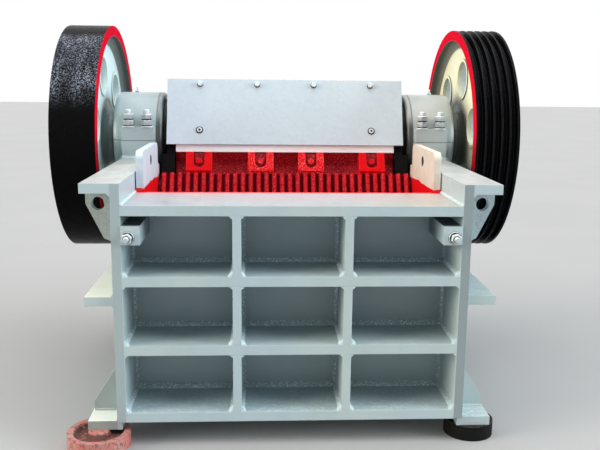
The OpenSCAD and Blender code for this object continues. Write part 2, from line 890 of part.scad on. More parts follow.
// Places its children at the centre of each lightening hole
module at_holes() {
    first_hole = 90 / hole_count;
    for (i = [0 : hole_count - 1])
        rotate([0, 0, first_hole + i * 360 / hole_count]) translate([hole_circle_r, 0, 0]) children();
}

module wheel_web() {
    difference() {
        union() {
            rotate_extrude($fn = 144) web_outline();
            at_holes() translate([0, 0, web_start - lip_rise])
                cylinder(h = web_t + 2 * lip_rise, r = hole_r + lip_w, $fn = 48);
        }
        at_holes() cylinder(h = 2 * rim_w, r = hole_r, $fn = 48);
    }
}

module flywheel_rim() {
    color(black) at_wheel(-1) wheel_rim(false);
}

module flywheel_web() {
    color(pale) at_wheel(-1) wheel_web();
}

module pulley_rim() {
    color(black) at_wheel(1) wheel_rim(true);
}

module pulley_web() {
    color(pale) at_wheel(1) wheel_web();
}

// Swing jaw

// Jaw casting: round head, front slab, toggle seat and lugs for the tension rods
module jaw_body() {
    slab_front = -(plate_back - seat);
    crown_front = -head_r + head_crown_inset;
    side_front = -head_r + side_block_front;
    side_inner = strip_half_w + side_block_gap;
    seat_half_w = toggle_half_w + toggle_side;
    color(dark_iron) difference() {
        union() {
            in_jaw() {
                rod_x_axis(-head_half_w, head_half_w, head_r, 96);
                box(-head_half_w, head_half_w, crown_front, slab_back, 0, head_top);
                along_x(-jaw_half_w, jaw_half_w) polygon([
                    [slab_front, slab_bottom], [slab_back, slab_bottom], [slab_back, slab_shoulder_z],
                    [slab_shoulder_y, slab_shoulder_z], [slab_front, -plate_top - slab_shoulder_z]
                ]);
                both_sides() box(side_inner, jaw_half_w, side_front, slab_back,
                    -plate_top + side_block_rise, side_block_top);
                along_x(-seat_half_w, seat_half_w) polygon([
                    [slab_back - 1, rib_foot()], toggle_seat + seat_across, toggle_seat - seat_across,
                    [slab_back - 1, slab_bottom]
                ]);
            }
            in_frame() for (x = [-rod_x, rod_x]) rod_lugs(x);
        }
        in_jaw() {
            rod_x_axis(-head_half_w - 1, head_half_w + 1, jaw_bore_r, 96);
            both_sides() rod_x_axis(head_half_w, jaw_half_w + 1, housing_r + ecc + clear, 96);
        }
        in_frame() translate([0, seat_y, seat_z])
            rod_x_axis(-toggle_seat_half_w, toggle_seat_half_w, toggle_seat_r, 48);
    }
}

// Height on the back of the slab where the toggle seat begins
function rib_foot() = (toggle_seat + seat_across)[1] + rib_foot_gap;

// Ribs on the back of the jaw casting, from the head down to the toggle seat, the outer two to the foot
module jaw_ribs() {
    rib_root = -head_r / 2;
    low = toggle_seat + seat_across;
    color(dark_iron) in_jaw() difference() {
        union() {
            for (i = [-1 : 1]) translate([i * rib_pitch, 0, 0]) along_x(-rib_t / 2, rib_t / 2) polygon([
                [slab_back, rib_root], [rib_top_y, rib_root], low, [slab_back, rib_foot()]
            ]);
            both_sides() translate([2 * rib_pitch, 0, 0]) along_x(-rib_t / 2, rib_t / 2) polygon([
                [slab_back, rib_root], [rib_top_y, rib_root], [rib_low_y, slab_bottom + outer_rib_rise],
                [slab_back, slab_bottom + outer_rib_root]
            ]);
        }
        rod_x_axis(-jaw_half_w, jaw_half_w, head_r, 96);
    }
}

// Two lugs and a pin that the eye of a tension rod hangs round
module rod_lugs(x) {
    for (side = [-1, 1]) translate([x + side * lug_gap, 0, 0]) along_x(-lug_half_t, lug_half_t) {
        translate([rod_y, rod_z]) circle(r = rod_lug_r, $fn = 48);
        polygon([
            [rod_y, rod_z - rod_lug_r], [rod_y + rod_lug_r, rod_z],
            [rod_y + rod_lug_heel, rod_z + rod_lug_rise],
            [rod_y - rod_lug_mid, rod_z + rod_lug_top], [rod_y - rod_lug_reach, rod_z]
        ]);
    }
    translate([x, rod_y, rod_z]) rod_x_axis(-lug_gap - lug_half_t, lug_gap + lug_half_t, rod_pin_r, 32);
}

module swing_jaw_plate() {
    color(signal_red) in_jaw()
        translate([0, -plate_back, -plate_bottom]) mirror([0, 1, 0])
            linear_extrude(plate_bottom - plate_top) tooth_outline(teeth_w);
}

// Wedge block with the slot that its bolt head sits in
module wedge_block() {
    back = -plate_back - 2;
    front = -jaw_face + 4;
    bevel = 12;
    head_clear = -sqrt(pow(head_r, 2) - pow(wedge_top, 2)) - seat;
    slot_w = 2 * wedge_slot_r;
    difference() {
        along_x(-wedge_w / 2, wedge_w / 2) polygon([
            [back, wedge_bottom], [front + bevel, wedge_bottom], [front, wedge_bottom + bevel],
            [front + 6, wedge_top], [head_clear, wedge_top], [back, wedge_bottom + 70]
        ]);
        translate([0, wedge_slot_y, wedge_top - wedge_slot_drop]) rotate([90, 0, 0]) {
            cylinder(h = plate_t + tooth_h, r = wedge_slot_r, $fn = 32);
            translate([-wedge_slot_r, 0, 0]) cube([slot_w, 2 * wedge_slot_drop, plate_t + tooth_h]);
        }
    }
}

module jaw_wedges() {
    color(signal_red) in_jaw() for (x = [-wedge_x2, -wedge_x1, wedge_x1, wedge_x2])
        translate([x, 0, 0]) wedge_block();
}

module on_guard() {
    in_jaw() rotate([guard_lean, 0, 0]) translate([0, -head_r - seat, -guard_drop]) children();
}

module jaw_guard() {
    color(pale) on_guard() box(-head_half_w, head_half_w, -guard_t, 0, 0, guard_h);
}

module guard_strip() {
    color(pale) on_guard() box(-strip_half_w, strip_half_w, seat, strip_t, -strip_drop, strip_lap);
}

// Lifting eye on top of the jaw head, just behind the guard
module lifting_eye() {
    base_half = 26;
    neck_half = 16;
    half_t = eye_t / 2;
    color(steel) in_jaw() translate([0, eye_y, head_top + seat]) difference() {
        union() {
            box(-base_half, base_half, -half_t, half_t, 0, 14);
            translate([0, half_t, 0]) rotate([90, 0, 0]) linear_extrude(eye_t) {
                translate([-neck_half, 0]) square([2 * neck_half, eye_rise - 10]);
                translate([0, eye_rise]) circle(r = eye_r, $fn = 48);
            }
        }
        translate([0, half_t + 1, eye_rise]) rotate([90, 0, 0])
            cylinder(h = eye_t + 2, r = eye_hole_r, $fn = 32);
    }
}

side_plate_left();
side_plate_right();
top_flange_left();
top_flange_right();
front_wall();
front_shelf_bottom();
front_shelf_middle();
front_shelf_upper();
front_uprights();
feed_lip();
rear_wall();
rear_shelves();
rear_uprights();
fixed_jaw_plate();
cheek_plate_left();
cheek_plate_right();
clamp_blocks();
lifting_brackets();
side_ledges();
front_feet();
rear_feet();
support_discs_left();
support_discs_right();
bearing_seat_left();
bearing_seat_right();
bearing_cap_left();
bearing_cap_right();
seal_rings();
toggle_plate();
toggle_beam();
toggle_shims();
tension_rods();
tension_springs();
eccentric_shaft();
flywheel_rim();
flywheel_web();
pulley_rim();
pulley_web();
jaw_body();
jaw_ribs();
swing_jaw_plate();
jaw_wedges();
jaw_guard();
guard_strip();
lifting_eye();
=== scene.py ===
"""Looks of the jaw crusher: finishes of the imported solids, fasteners, weld beads, camera and light."""

import json
import math
import random

import bpy
from mathutils import Matrix, Vector


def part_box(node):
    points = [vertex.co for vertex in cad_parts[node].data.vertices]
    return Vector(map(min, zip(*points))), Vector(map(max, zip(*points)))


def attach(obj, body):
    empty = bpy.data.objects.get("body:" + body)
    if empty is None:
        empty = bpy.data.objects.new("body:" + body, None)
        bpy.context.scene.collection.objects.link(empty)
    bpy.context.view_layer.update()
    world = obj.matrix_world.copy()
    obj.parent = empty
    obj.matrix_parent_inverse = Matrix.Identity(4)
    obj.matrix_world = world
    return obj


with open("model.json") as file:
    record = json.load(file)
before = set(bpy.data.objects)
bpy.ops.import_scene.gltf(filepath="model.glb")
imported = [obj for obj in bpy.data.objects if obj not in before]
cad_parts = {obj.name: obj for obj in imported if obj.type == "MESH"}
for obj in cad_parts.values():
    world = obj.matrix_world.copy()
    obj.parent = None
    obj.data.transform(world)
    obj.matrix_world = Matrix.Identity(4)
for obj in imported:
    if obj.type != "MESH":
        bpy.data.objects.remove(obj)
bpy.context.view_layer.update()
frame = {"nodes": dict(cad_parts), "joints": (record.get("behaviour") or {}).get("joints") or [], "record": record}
nodes = frame["nodes"]
record = frame["record"]

# Places taken from the frame

side_lo, side_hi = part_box("side_plate_right")
wall_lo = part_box("front_wall")[0]
lip_lo, lip_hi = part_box("feed_lip")
rear_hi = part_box("rear_wall")[1]
cheek_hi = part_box("cheek_plate_left")[1]
feet_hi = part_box("front_feet")[1]
RIM_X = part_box("pulley_rim")[0].x
AXIS = Vector(frame["joints"][0]["pos_m"])
JAW_PIN = Vector(frame["joints"][1]["pos_m"])
FRONT = side_lo.y
INNER_X = side_lo.x
OUTER_X = side_hi.x
FOOT_TOP = side_lo.z
TOP = side_hi.z
cheek_hole = next(mount for mount in record["mounts"] if mount["name"] == "cheek_hole_left")
CHEEK_HOLE_AT = Vector(cheek_hole["pos_m"])
CHEEK_HOLE_R = cheek_hole["dims"]["r_mm"] / 1000

# Sizes that repeat the solids, in metres

JAW_TILT = math.radians(25)
JAW_FORWARD = Vector((0, -math.cos(JAW_TILT), math.sin(JAW_TILT)))
GUARD_TILT = JAW_TILT - math.radians(5.4)
HEAD_R = 0.208
GUARD_T = 0.012
GUARD_H = 0.324
GUARD_DROP = 0.085
JAW_FACE = 0.226
WEDGE_X = (-0.412, -0.120, 0.120, 0.412)
WEDGE_TOP = -0.1457
WEDGE_BOLT_DROP = 0.045
WEDGE_SLOT_DROP = 0.052
WEDGE_SLOT_R = 0.026
WEDGE_SEAT_H = 0.036
WEDGE_SLOT_BACK = -0.166
STRIP_HALF_W = 0.524
HOUSING_R = 0.222
LUG_X = 0.626
LUG_W = 0.150
LUG_HALF_SPAN = 0.255
LUG_TOP = AXIS.z + 0.063
UPRIGHT_X = 0.210
UPRIGHT_T = 0.032
SHELF_T = 0.038
BLOCK_SIZE = 0.070
HUB_FOOT_R = 0.168
RIM_INNER_R = 0.490
WEB_FACE = RIM_X + 0.047
GUSSET_T = 0.028
GUSSET_SETBACK = 0.106
GUSSET_CUT = 0.016
DISC_WALL = 0.022
JOINT_HALF_H = 0.001
GUARD_PLAY = 0.0003

# Heights between which the shade of the bays grows to its full strength

BAY_FADE = (0.25, 0.65)

# Hands and directions

SIDES = (-1, 1)
LEFT, RIGHT = (-1, 0, 0), (1, 0, 0)
FORWARD, BACK = (0, -1, 0), (0, 1, 0)
DOWN, UP = (0, 0, -1), (0, 0, 1)


class Finish:
    """One procedural material. Coordinates are those of the frame at rest, in metres."""

    def __init__(self, name, specular=0.5, metallic=0.0):
        self.material = bpy.data.materials.new(name)
        self.material.use_nodes = True
        self.tree = self.material.node_tree
        self.tree.nodes.clear()
        self.shader = self.node("ShaderNodeBsdfPrincipled")
        self.shader.inputs["Specular IOR Level"].default_value = specular
        self.shader.inputs["Metallic"].default_value = metallic
        output = self.node("ShaderNodeOutputMaterial")
        self.link(self.shader.outputs[0], output.inputs[0])
        self.place = self.node("ShaderNodeTexCoord").outputs["Object"]
        axes = self.node("ShaderNodeSeparateXYZ")
        self.link(self.place, axes.inputs[0])
        self.x, self.y, self.z = axes.outputs

    def node(self, kind, **settings):
        made = self.tree.nodes.new(kind)
        for key, value in settings.items():
            setattr(made, key, value)
        return made

    def link(self, source, target):
        self.tree.links.new(source, target)

    def fill(self, socket, value):
        if isinstance(value, bpy.types.NodeSocket):
            self.link(value, socket)
        elif isinstance(value, tuple):
            socket.default_value = (*value, 1)
        else:
            socket.default_value = value

    def math(self, operation, a, b=0.0):
        made = self.node("ShaderNodeMath", operation=operation)
        self.fill(made.inputs[0], a)
        self.fill(made.inputs[1], b)
        return made.outputs[0]

    def dot(self, a, direction):
        made = self.node("ShaderNodeVectorMath", operation="DOT_PRODUCT")
        self.link(a, made.inputs[0])
        if isinstance(direction, bpy.types.NodeSocket):
            self.link(direction, made.inputs[1])
        else:
            made.inputs[1].default_value = direction
        return made.outputs["Value"]

    def noise(self, scale, detail=3.0, roughness=0.55, stretch=(1, 1, 1)):
        spread = self.node("ShaderNodeMapping")
        spread.inputs["Scale"].default_value = stretch
        self.link(self.place, spread.inputs["Vector"])
        made = self.node("ShaderNodeTexNoise")
        self.link(spread.outputs[0], made.inputs["Vector"])
        made.inputs["Scale"].default_value = scale
        made.inputs["Detail"].default_value = detail
        made.inputs["Roughness"].default_value = roughness
        return made.outputs["Fac"]

    def ramp(self, value, low, high):
        """0 below low and 1 above high, or the other way round where low is the larger."""
        made = self.node("ShaderNodeMapRange", interpolation_type="SMOOTHSTEP")
        self.fill(made.inputs["Value"], value)
        made.inputs["From Min"].default_value = min(low, high)
        made.inputs["From Max"].default_value = max(low, high)
        made.inputs["To Min"].default_value = 0.0 if low < high else 1.0
        made.inputs["To Max"].default_value = 1.0 if low < high else 0.0
        return made.outputs[0]

    def spots(self, low, high, *noise, **stretch):
        """1 where a noise is above high, 0 where it is below low; the rest says which noise."""
        return self.ramp(self.noise(*noise, **stretch), low, high)

    def mix(self, factor, a, b, kind="RGBA"):
        """Colour a where factor is 0 and b where it is 1."""
        made = self.node("ShaderNodeMix", data_type=kind)
        for key, value in (("Factor", factor), ("A", a), ("B", b)):
            self.fill(made.inputs[key], value)
        return made.outputs["Result"]

    def blend(self, factor, a, b):
        """The same for two numbers."""
        return self.mix(factor, a, b, "FLOAT")

    def all_of(self, first, *others):
        """Product of masks and strengths."""
        product = first
        for other in others:
            product = self.math("MULTIPLY", product, other)
        return product

    def either(self, a, b):
        return self.math("MAXIMUM", a, b)

    def lay(self, colour, coat, *masks):
        """A coat of another colour where all the masks hold, as strongly as their numbers say."""
        return self.mix(self.all_of(*masks), colour, coat)

    def facing_up(self, kind="True Normal"):
        """1 on a face that looks up, 0 on an upright one, wherever its body has moved."""
        normal = self.node("ShaderNodeSeparateXYZ")
        self.link(self.node("ShaderNodeNewGeometry").outputs[kind], normal.inputs[0])
        return normal.outputs["Z"]

    def level(self, low=0.8, high=0.95):
        """1 on faces that look up, 0 on those that lean more than low allows."""
        return self.ramp(self.facing_up(), low, high)

    def hemmed_in(self, reach, free, closed):
        """1 where other surfaces stand close within a reach, 0 where the surface is free."""
        made = self.node("ShaderNodeAmbientOcclusion", samples=8)
        made.inputs["Distance"].default_value = reach
        return self.ramp(made.outputs["AO"], free, closed)

    def rounded(self, radius):
        """Normal with its sharp edges rounded."""
        soft = self.node("ShaderNodeBevel", samples=4)
        soft.inputs["Radius"].default_value = radius
        return soft.outputs[0]

    def edges(self, radius):
        """Where a sharp edge is near: 0 on flat ground, 1 on the edge."""
        true_normal = self.node("ShaderNodeNewGeometry").outputs["True Normal"]
        return self.ramp(self.dot(self.rounded(radius), true_normal), 0.97, 0.80)

    def along(self, direction):
        """Distance of a point along a direction, from the origin of the frame."""
        return self.dot(self.place, direction)

    def length(self, a, b):
        return self.math("SQRT", self.math("ADD", self.all_of(a, a), self.all_of(b, b)))

    def from_line(self, at):
        """Distance of a point from the line across the machine that passes through a place."""
        return self.length(self.math("SUBTRACT", self.y, at.y), self.math("SUBTRACT", self.z, at.z))

    def out_from_middle(self):
        """Distance of a point from the plane that halves the frame."""
        return self.math("ABSOLUTE", self.x)

    def on_right(self):
        """0 on the left half of the machine, 1 on the right."""
        return self.ramp(self.x, -0.001, 0.001)

    def finish(self, colour, roughness, bumps, round_edges=0.003):
        """bumps: (height socket, depth in metres) pairs, laid over each other."""
        self.fill(self.shader.inputs["Base Color"], colour)
        self.fill(self.shader.inputs["Roughness"], roughness)
        normal = self.rounded(round_edges) if round_edges else None
        for height, depth in bumps:
            bump = self.node("ShaderNodeBump")
            bump.inputs["Distance"].default_value = depth
            self.link(height, bump.inputs["Height"])
            if normal:
                self.link(normal, bump.inputs["Normal"])
            normal = bump.outputs[0]
        self.link(normal, self.shader.inputs["Normal"])
        return self.material


# Colours that more than one finish uses, or that set a whole finish

PALE = (0.455, 0.570, 0.610)
PALE_WARM = (0.49, 0.58, 0.580)
PALE_SHADE = (0.375, 0.47, 0.50)
# Colour of the painted highlight along sharp edges
EDGE_HIGHLIGHT_PAINT = (0.78, 0.90, 0.94)
# Colour of the painted warm light on tops on the left
PAINTED_WARM_LIGHT = (0.92, 0.93, 0.80)
# Colour of the painted shade deep in the open bays
BAY_SHADE = (0.20, 0.25, 0.27)
PRIMER = (0.30, 0.26, 0.23)
DUST = (0.42, 0.40, 0.36)
# Dark of oil and painted shade next to the swing jaw
OIL_AND_SHADE = (0.020, 0.021, 0.021)
RED = (0.80, 0.003, 0.008)
RED_DEEP = (0.20, 0.004, 0.010)
RED_RING = (0.70, 0.004, 0.026)
# Painted shade inside the rims and in the corner between web and rim
RIM_INSIDE_SHADE = (0.060, 0.064, 0.052)
RIM_BLACK = (0.0035, 0.0035, 0.0040)
# Colour of the painted glints on the rims
RIM_GLINT = (0.54, 0.58, 0.72)
BLACK = (0.008, 0.008, 0.009)


# Finishes


def pale_layers(f):
    """Colour, roughness and bumps of the frame's paint: faint runs, soft patches and a little dust."""
    colour = f.mix(f.spots(0.38, 0.66, 1.7, 4.0), PALE, PALE_WARM)
    runs = f.spots(0.40, 0.70, 9.0, stretch=(1, 1, 0.35))
    colour = f.lay(colour, PALE_SHADE, runs, 0.25)
    colour = f.lay(colour, DUST, f.spots(0.70, 0.78, 230.0, 2.0), 0.20)
    settled = f.all_of(f.level(0.7), f.spots(0.50, 0.78, 14.0, 5.0, 0.7))
    colour = f.lay(colour, DUST, settled, 0.30)
    roughness = f.blend(f.spots(0.35, 0.7, 22.0), 0.30, 0.46)
    roughness = f.blend(f.all_of(settled, 0.5), roughness, 0.75)
    bumps = [(f.noise(26.0, 2.0), 0.0009), (f.noise(420.0, 2.0), 0.00022)]
    return colour, roughness, bumps


# Mask for the painted shade in the bays
def recess(f):
    """How deep a point lies in the open bays: 0 outside them, 1 at their back walls."""
    within = f.ramp(f.out_from_middle(), INNER_X + 0.0010, INNER_X - 0.0005)
    low = f.ramp(f.z, lip_lo.z + 0.0010, lip_lo.z - 0.0005)
    front = f.ramp(f.y, FRONT + 0.010, FRONT + 0.180)
    rear = f.ramp(f.y, side_hi.y - 0.010, side_hi.y - 0.110)
    not_between = f.either(f.ramp(f.y, wall_lo.y + 0.010, wall_lo.y + 0.001),
                           f.ramp(f.y, rear_hi.y - 0.010, rear_hi.y - 0.001))
    return f.all_of(front, rear, not_between, within, low)


def worn_edges(f, colour, share=0.55):
    """Bare metal and primer on edges that have been knocked."""
    return f.lay(colour, PRIMER, f.edges(0.004), f.spots(0.56, 0.70, 38.0, 4.0, 0.7), share)


def painted_edge_highlight(f, colour):
    """Painted highlight along sharp edges, in a lighter paint colour."""
    return f.lay(colour, EDGE_HIGHLIGHT_PAINT, f.edges(0.0025), 0.35)


def red_spray(f, colour, amount, dense):
    """Red spray over another colour: solid where amount is 1, specks where it is low."""
    grain = f.all_of(f.noise(340.0, 3.0, 0.7), dense)
    cloud = f.all_of(f.noise(30.0), dense)
    hit = f.ramp(f.math("ADD", amount, f.math("ADD", grain, cloud)), 0.80, 1.05)
    return f.mix(hit, colour, RED)


def pale_paint():
    """The frame: painted warm light on top of its left ledges and feet and painted shade on the uprights low down
    there, painted light on the flange tops, painted shade on the side plates' front edges and deep in the bays.
    """
    f = Finish("pale_paint")
    colour, roughness, bumps = pale_layers(f)
    top = f.level()
    upright = f.math("SUBTRACT", 1.0, top)
    past_left = f.ramp(f.x, -OUTER_X - 0.001, -OUTER_X - 0.003)
    below_flange = f.ramp(f.z, TOP - 0.045, TOP - 0.055)
    gusset = f.ramp(f.z, feet_hi.z + 0.064, feet_hi.z + 0.024)
    # Painted warm light on the tops of the left ledges and feet, painted shade on the upright faces low down by
    # the gussets
    colour = f.lay(colour, PAINTED_WARM_LIGHT, past_left, below_flange, top, 0.85)
    colour = f.lay(colour, (0.25, 0.26, 0.22), past_left, below_flange, upright, gusset, 0.60)
    foot = f.ramp(f.z, FOOT_TOP + 0.064, FOOT_TOP + 0.024)
    crust = f.spots(0.48, 0.62, 70.0, 4.0, 0.7)
    colour = f.lay(colour, (0.64, 0.84, 0.90), top, foot, crust, 0.60)
    # Painted light on the tops of the flanges
    flange = f.ramp(f.z, TOP - 0.002, TOP - 0.001)
    colour = f.lay(colour, (0.60, 0.575, 0.54), flange, top, 0.65)
    out = f.out_from_middle()
    on_plate = f.all_of(f.ramp(out, INNER_X, INNER_X + 0.001), f.ramp(out, OUTER_X + 0.002, OUTER_X + 0.001))
    # Painted shade on the front edges of the side plates, stronger on the right
    plate_edge_shade = f.all_of(on_plate, f.ramp(f.y, FRONT + 0.002, FRONT + 0.001))
    colour = f.lay(colour, (0.25, 0.30, 0.31), plate_edge_shade, f.blend(f.on_right(), 0.45, 0.90))
    # Bare metal on knocked edges, and a painted highlight along edges
    colour = worn_edges(f, painted_edge_highlight(f, colour))
    # Painted shade deep in the open bays, weaker near the floor
    lower_bays = f.blend(f.ramp(f.z, *BAY_FADE), 0.72, 1.0)
    colour = f.lay(colour, BAY_SHADE, recess(f), f.blend(f.noise(5.0, 4.0), 0.42, 0.70), lower_bays)
    return f.finish(colour, roughness, bumps)


def weld_paint():
    """Weld beads: a lighter colour as a painted highlight, painted shade in the bays, and light specks that are
    partly spatter and partly painted highlight.
    """
    f = Finish("pale_paint_weld")
    colour, roughness = pale_layers(f)[:2]
    # Lighter than the frame, as a painted highlight
    colour = f.mix(0.5, colour, (0.58, 0.76, 0.82))
    # Painted shade in the bays
    colour = f.lay(colour, BAY_SHADE, recess(f), 0.50)
    # Light specks: spatter, partly painted highlight
    spatter = f.spots(0.52, 0.60, 150.0, 3.0, 0.7)
    colour = f.lay(colour, (0.86, 0.96, 0.98), spatter, 0.85)
    return f.finish(colour, roughness, [(f.noise(160.0, 3.0, 0.7), 0.0020)], 0)


def bracket_paint():
    """Lifting brackets: darker and grainy, with a painted tint of warm light on the left and cool light on the
    right.
    """
    f = Finish("pale_paint_bracket")
    colour, roughness, bumps = pale_layers(f)
    # Darker, with a painted tint of warm light on the left and cool light on the right
    dark_side_tint = f.mix(f.on_right(), (0.34, 0.31, 0.22), (0.32, 0.36, 0.37))
    colour = f.mix(f.blend(f.on_right(), 0.45, 0.25), colour, dark_side_tint)
    grain = f.spots(0.50, 0.64, 150.0, 3.0, 0.7)
    colour = f.lay(colour, (0.17, 0.19, 0.19), grain, 0.40)
    return f.finish(worn_edges(f, colour), roughness, bumps)


def lip_paint():
    """The feed lip: yellowed towards the right, with a line of red spray along its rear edge."""
    f = Finish("pale_paint_lip")
    colour, roughness, bumps = pale_layers(f)
    top = f.level()
    marks = f.spots(0.46, 0.70, 3.2, 4.0, 0.6, (0.6, 1, 1))
    colour = f.lay(colour, (0.34, 0.42, 0.47), top, marks, 0.35)
    yellowed = f.ramp(f.x, 0.10, 0.56)
    colour = f.lay(colour, (0.62, 0.56, 0.36), top, yellowed, 0.60)
    colour = f.lay(colour, (0.42, 0.35, 0.37), top, 0.50)
    blush = f.ramp(f.y, lip_hi.y - 0.300, lip_hi.y)
    colour = f.lay(colour, (0.80, 0.36, 0.38), top, blush, 0.30)
    spray = f.all_of(f.ramp(f.y, lip_hi.y - 0.050, lip_hi.y - 0.004), 0.85)
    # Painted highlight along the lip's edges, under the red spray
    colour = red_spray(f, worn_edges(f, painted_edge_highlight(f, colour)), spray, 0.45)
    return f.finish(colour, roughness, bumps)


def cheek_paint():
    """Cheek plates: near-white on rough flame-cut steel, with a painted tint of warm light on the right and cool
    light on the left, painted shade in the lifting hole, red at the lower rear.
    """
    f = Finish("cheek_plate_paint")
    # Painted tint of cool light on the left and warm light on the right
    light = f.mix(f.on_right(), (0.61, 0.70, 0.78), (0.72, 0.69, 0.59))
    dark = f.mix(f.on_right(), (0.54, 0.62, 0.70), (0.66, 0.63, 0.54))
    colour = f.mix(f.spots(0.35, 0.7, 18.0, 4.0), light, dark)
    # Painted shade on the wall of the lifting hole
    hole_wall_shade = f.ramp(f.from_line(CHEEK_HOLE_AT), CHEEK_HOLE_R + 0.0015, CHEEK_HOLE_R + 0.0003)
    colour = worn_edges(f, f.mix(hole_wall_shade, colour, (0.05, 0.052, 0.058)), 0.8)
    mist = f.ramp(f.y, cheek_hi.y - 0.10, cheek_hi.y)
    colour = f.lay(colour, (0.80, 0.30, 0.30), mist, 0.21)
    wavy_line = f.math("ADD", f.all_of(f.noise(7.0), 0.050), lip_hi.z - 0.012)
    red = f.ramp(f.math("SUBTRACT", wavy_line, f.z), -0.001, 0.001)
    scale = f.noise(60.0, 4.0, 0.65)
    cut = f.noise(150.0, 2.0, stretch=(1, 1, 0.1))
    return f.finish(f.mix(red, colour, RED), f.blend(red, 0.55, 0.30), [(scale, 0.0022), (cut, 0.0008)])


def strip_paint():
    """The strip below the guard: near white, with a smear of red spray along its middle."""
    f = Finish("pale_paint_strip")
    colour, roughness, bumps = pale_layers(f)
    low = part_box("guard_strip")[0].z
    colour = f.mix(0.95, colour, (0.96, 0.98, 1.0))
    middle = f.all_of(f.ramp(f.z, low + 0.004, low + 0.014), f.ramp(f.z, low + 0.034, low + 0.022))
    smear = f.spots(0.42, 0.66, 11.0, 4.0, 0.6, (0.5, 1, 1))
    colour = f.lay(colour, (0.85, 0.22, 0.30), middle, smear, 0.22)
    spray = f.all_of(f.ramp(f.z, low + 0.008, low + 0.001), 0.35)
    return f.finish(red_spray(f, colour, spray, 0.40), roughness, bumps)


def guard_paint():
    """The guard plate: smooth sheet with soft patches of painted reflection, and a breath of red along its lower
    edge.
    """
    f = Finish("pale_paint_guard")
    colour, roughness, bumps = pale_layers(f)
    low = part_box("jaw_guard")[0].z
    # Painted reflection: soft lighter patches across the plate
    reflection_patches = f.blend(f.spots(0.35, 0.65, 1.3, 2.0), 0.55, 0.90)
    colour = worn_edges(f, f.mix(reflection_patches, colour, (0.74, 0.86, 0.95)))
    spray = f.all_of(f.ramp(f.z, low + 0.040, low - 0.010), 0.40)
    return f.finish(red_spray(f, colour, spray, 0.40), f.all_of(roughness, 0.8), bumps, 0.0015)


def housing_paint():
    """Bearing housings: duller, with a painted tint of cool light on the left and warm light on the right; dark
    next to the swing jaw with oil and painted shade, apart from the top.
    """
    f = Finish("pale_paint_housing")
    colour, roughness, bumps = pale_layers(f)
    # Duller, more so on top; the cool left and warm right tints are painted light
    dull = f.mix(f.on_right(), (0.30, 0.36, 0.37), (0.42, 0.38, 0.30))
    colour = f.mix(f.blend(f.level(0.10, 0.60), 0.25, 0.50), colour, dull)
    out = f.out_from_middle()
    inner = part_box("bearing_cap_right")[0].x
    # Oil and painted shade next to the swing jaw: strong low down, weaker above and more on the left, with a dark
    # line at the inner end
    near_jaw = f.ramp(out, inner + 0.034, inner + 0.026)
    line = f.all_of(near_jaw, f.ramp(out, inner + 0.018, inner + 0.025), 0.75)
    low = f.ramp(f.z, AXIS.z + 0.150, AXIS.z + 0.060)
    oil_and_shade = f.blend(low, f.blend(f.on_right(), 0.42, 0.10), 0.92)
    colour = f.lay(worn_edges(f, colour), OIL_AND_SHADE, near_jaw, f.either(oil_and_shade, line))
    above, below = AXIS.z + JOINT_HALF_H, AXIS.z - JOINT_HALF_H
    joint = f.all_of(f.ramp(f.z, below - 0.0012, below), f.ramp(f.z, above + 0.0012, above))
    # Painted highlight along edges, and the dark joint of cap and seat
    colour = f.lay(painted_edge_highlight(f, colour), (0.05, 0.05, 0.05), joint, 0.8)
    return f.finish(colour, roughness, bumps)


def block_paint():
    """Clamp blocks: painted shade, nearly black, on their top faces and on faces further back under the feed lip.
    """
    f = Finish("pale_paint_block")
    colour, roughness, bumps = pale_layers(f)
    # Painted shade on the top faces and deeper faces, painted highlight along the other edges
    shaded_top = f.all_of(f.level(), f.ramp(f.y, FRONT + 0.002, FRONT + 0.030))
    deep = f.all_of(f.ramp(f.y, FRONT + 0.040, FRONT + 0.200), 0.75)
    colour = f.mix(f.either(shaded_top, deep), painted_edge_highlight(f, colour), (0.035, 0.040, 0.045))
    return f.finish(colour, roughness, bumps)


def red_paint():
    """Jaw plates and wedges: bright spray on rough castings, dark in patches, with worn specks inwards and a
    painted highlight along edges.
    """
    f = Finish("red_paint", specular=0.04)
    mottled = f.spots(0.52, 0.72, 70.0, 4.0, 0.7)
    colour = f.lay(RED, RED_DEEP, mottled, 0.55)
    inwards = f.ramp(f.out_from_middle(), WEDGE_X[2] + 0.12, WEDGE_X[2] + 0.08)
    specks = f.spots(0.56, 0.63, 210.0, 3.0, 0.7)
    colour = f.lay(colour, (1.0, 0.50, 0.52), specks, f.blend(inwards, 0.06, 0.75), 0.80)
    # Painted highlight along edges
    colour = f.lay(colour, (1.0, 0.30, 0.30), f.edges(0.002), 0.55)
    bumps = [(f.noise(120.0, 4.0, 0.65), 0.0014), (f.noise(30.0, 2.0), 0.0012)]
    return f.finish(colour, f.blend(mottled, 0.22, 0.45), bumps)


def seat_paint():
    """Bolt seats of the wedges: dark red round the bolt heads as painted shade in the slots, with lighter specks.
    """
    f = Finish("red_paint_seat", specular=0.08)
    # Painted shade in the slot, with lighter specks
    colour = f.mix(f.spots(0.50, 0.62, 190.0, 3.0, 0.75), (0.22, 0.003, 0.008), (0.75, 0.07, 0.09))
    return f.finish(colour, 0.4, [(f.noise(140.0), 0.0012)])


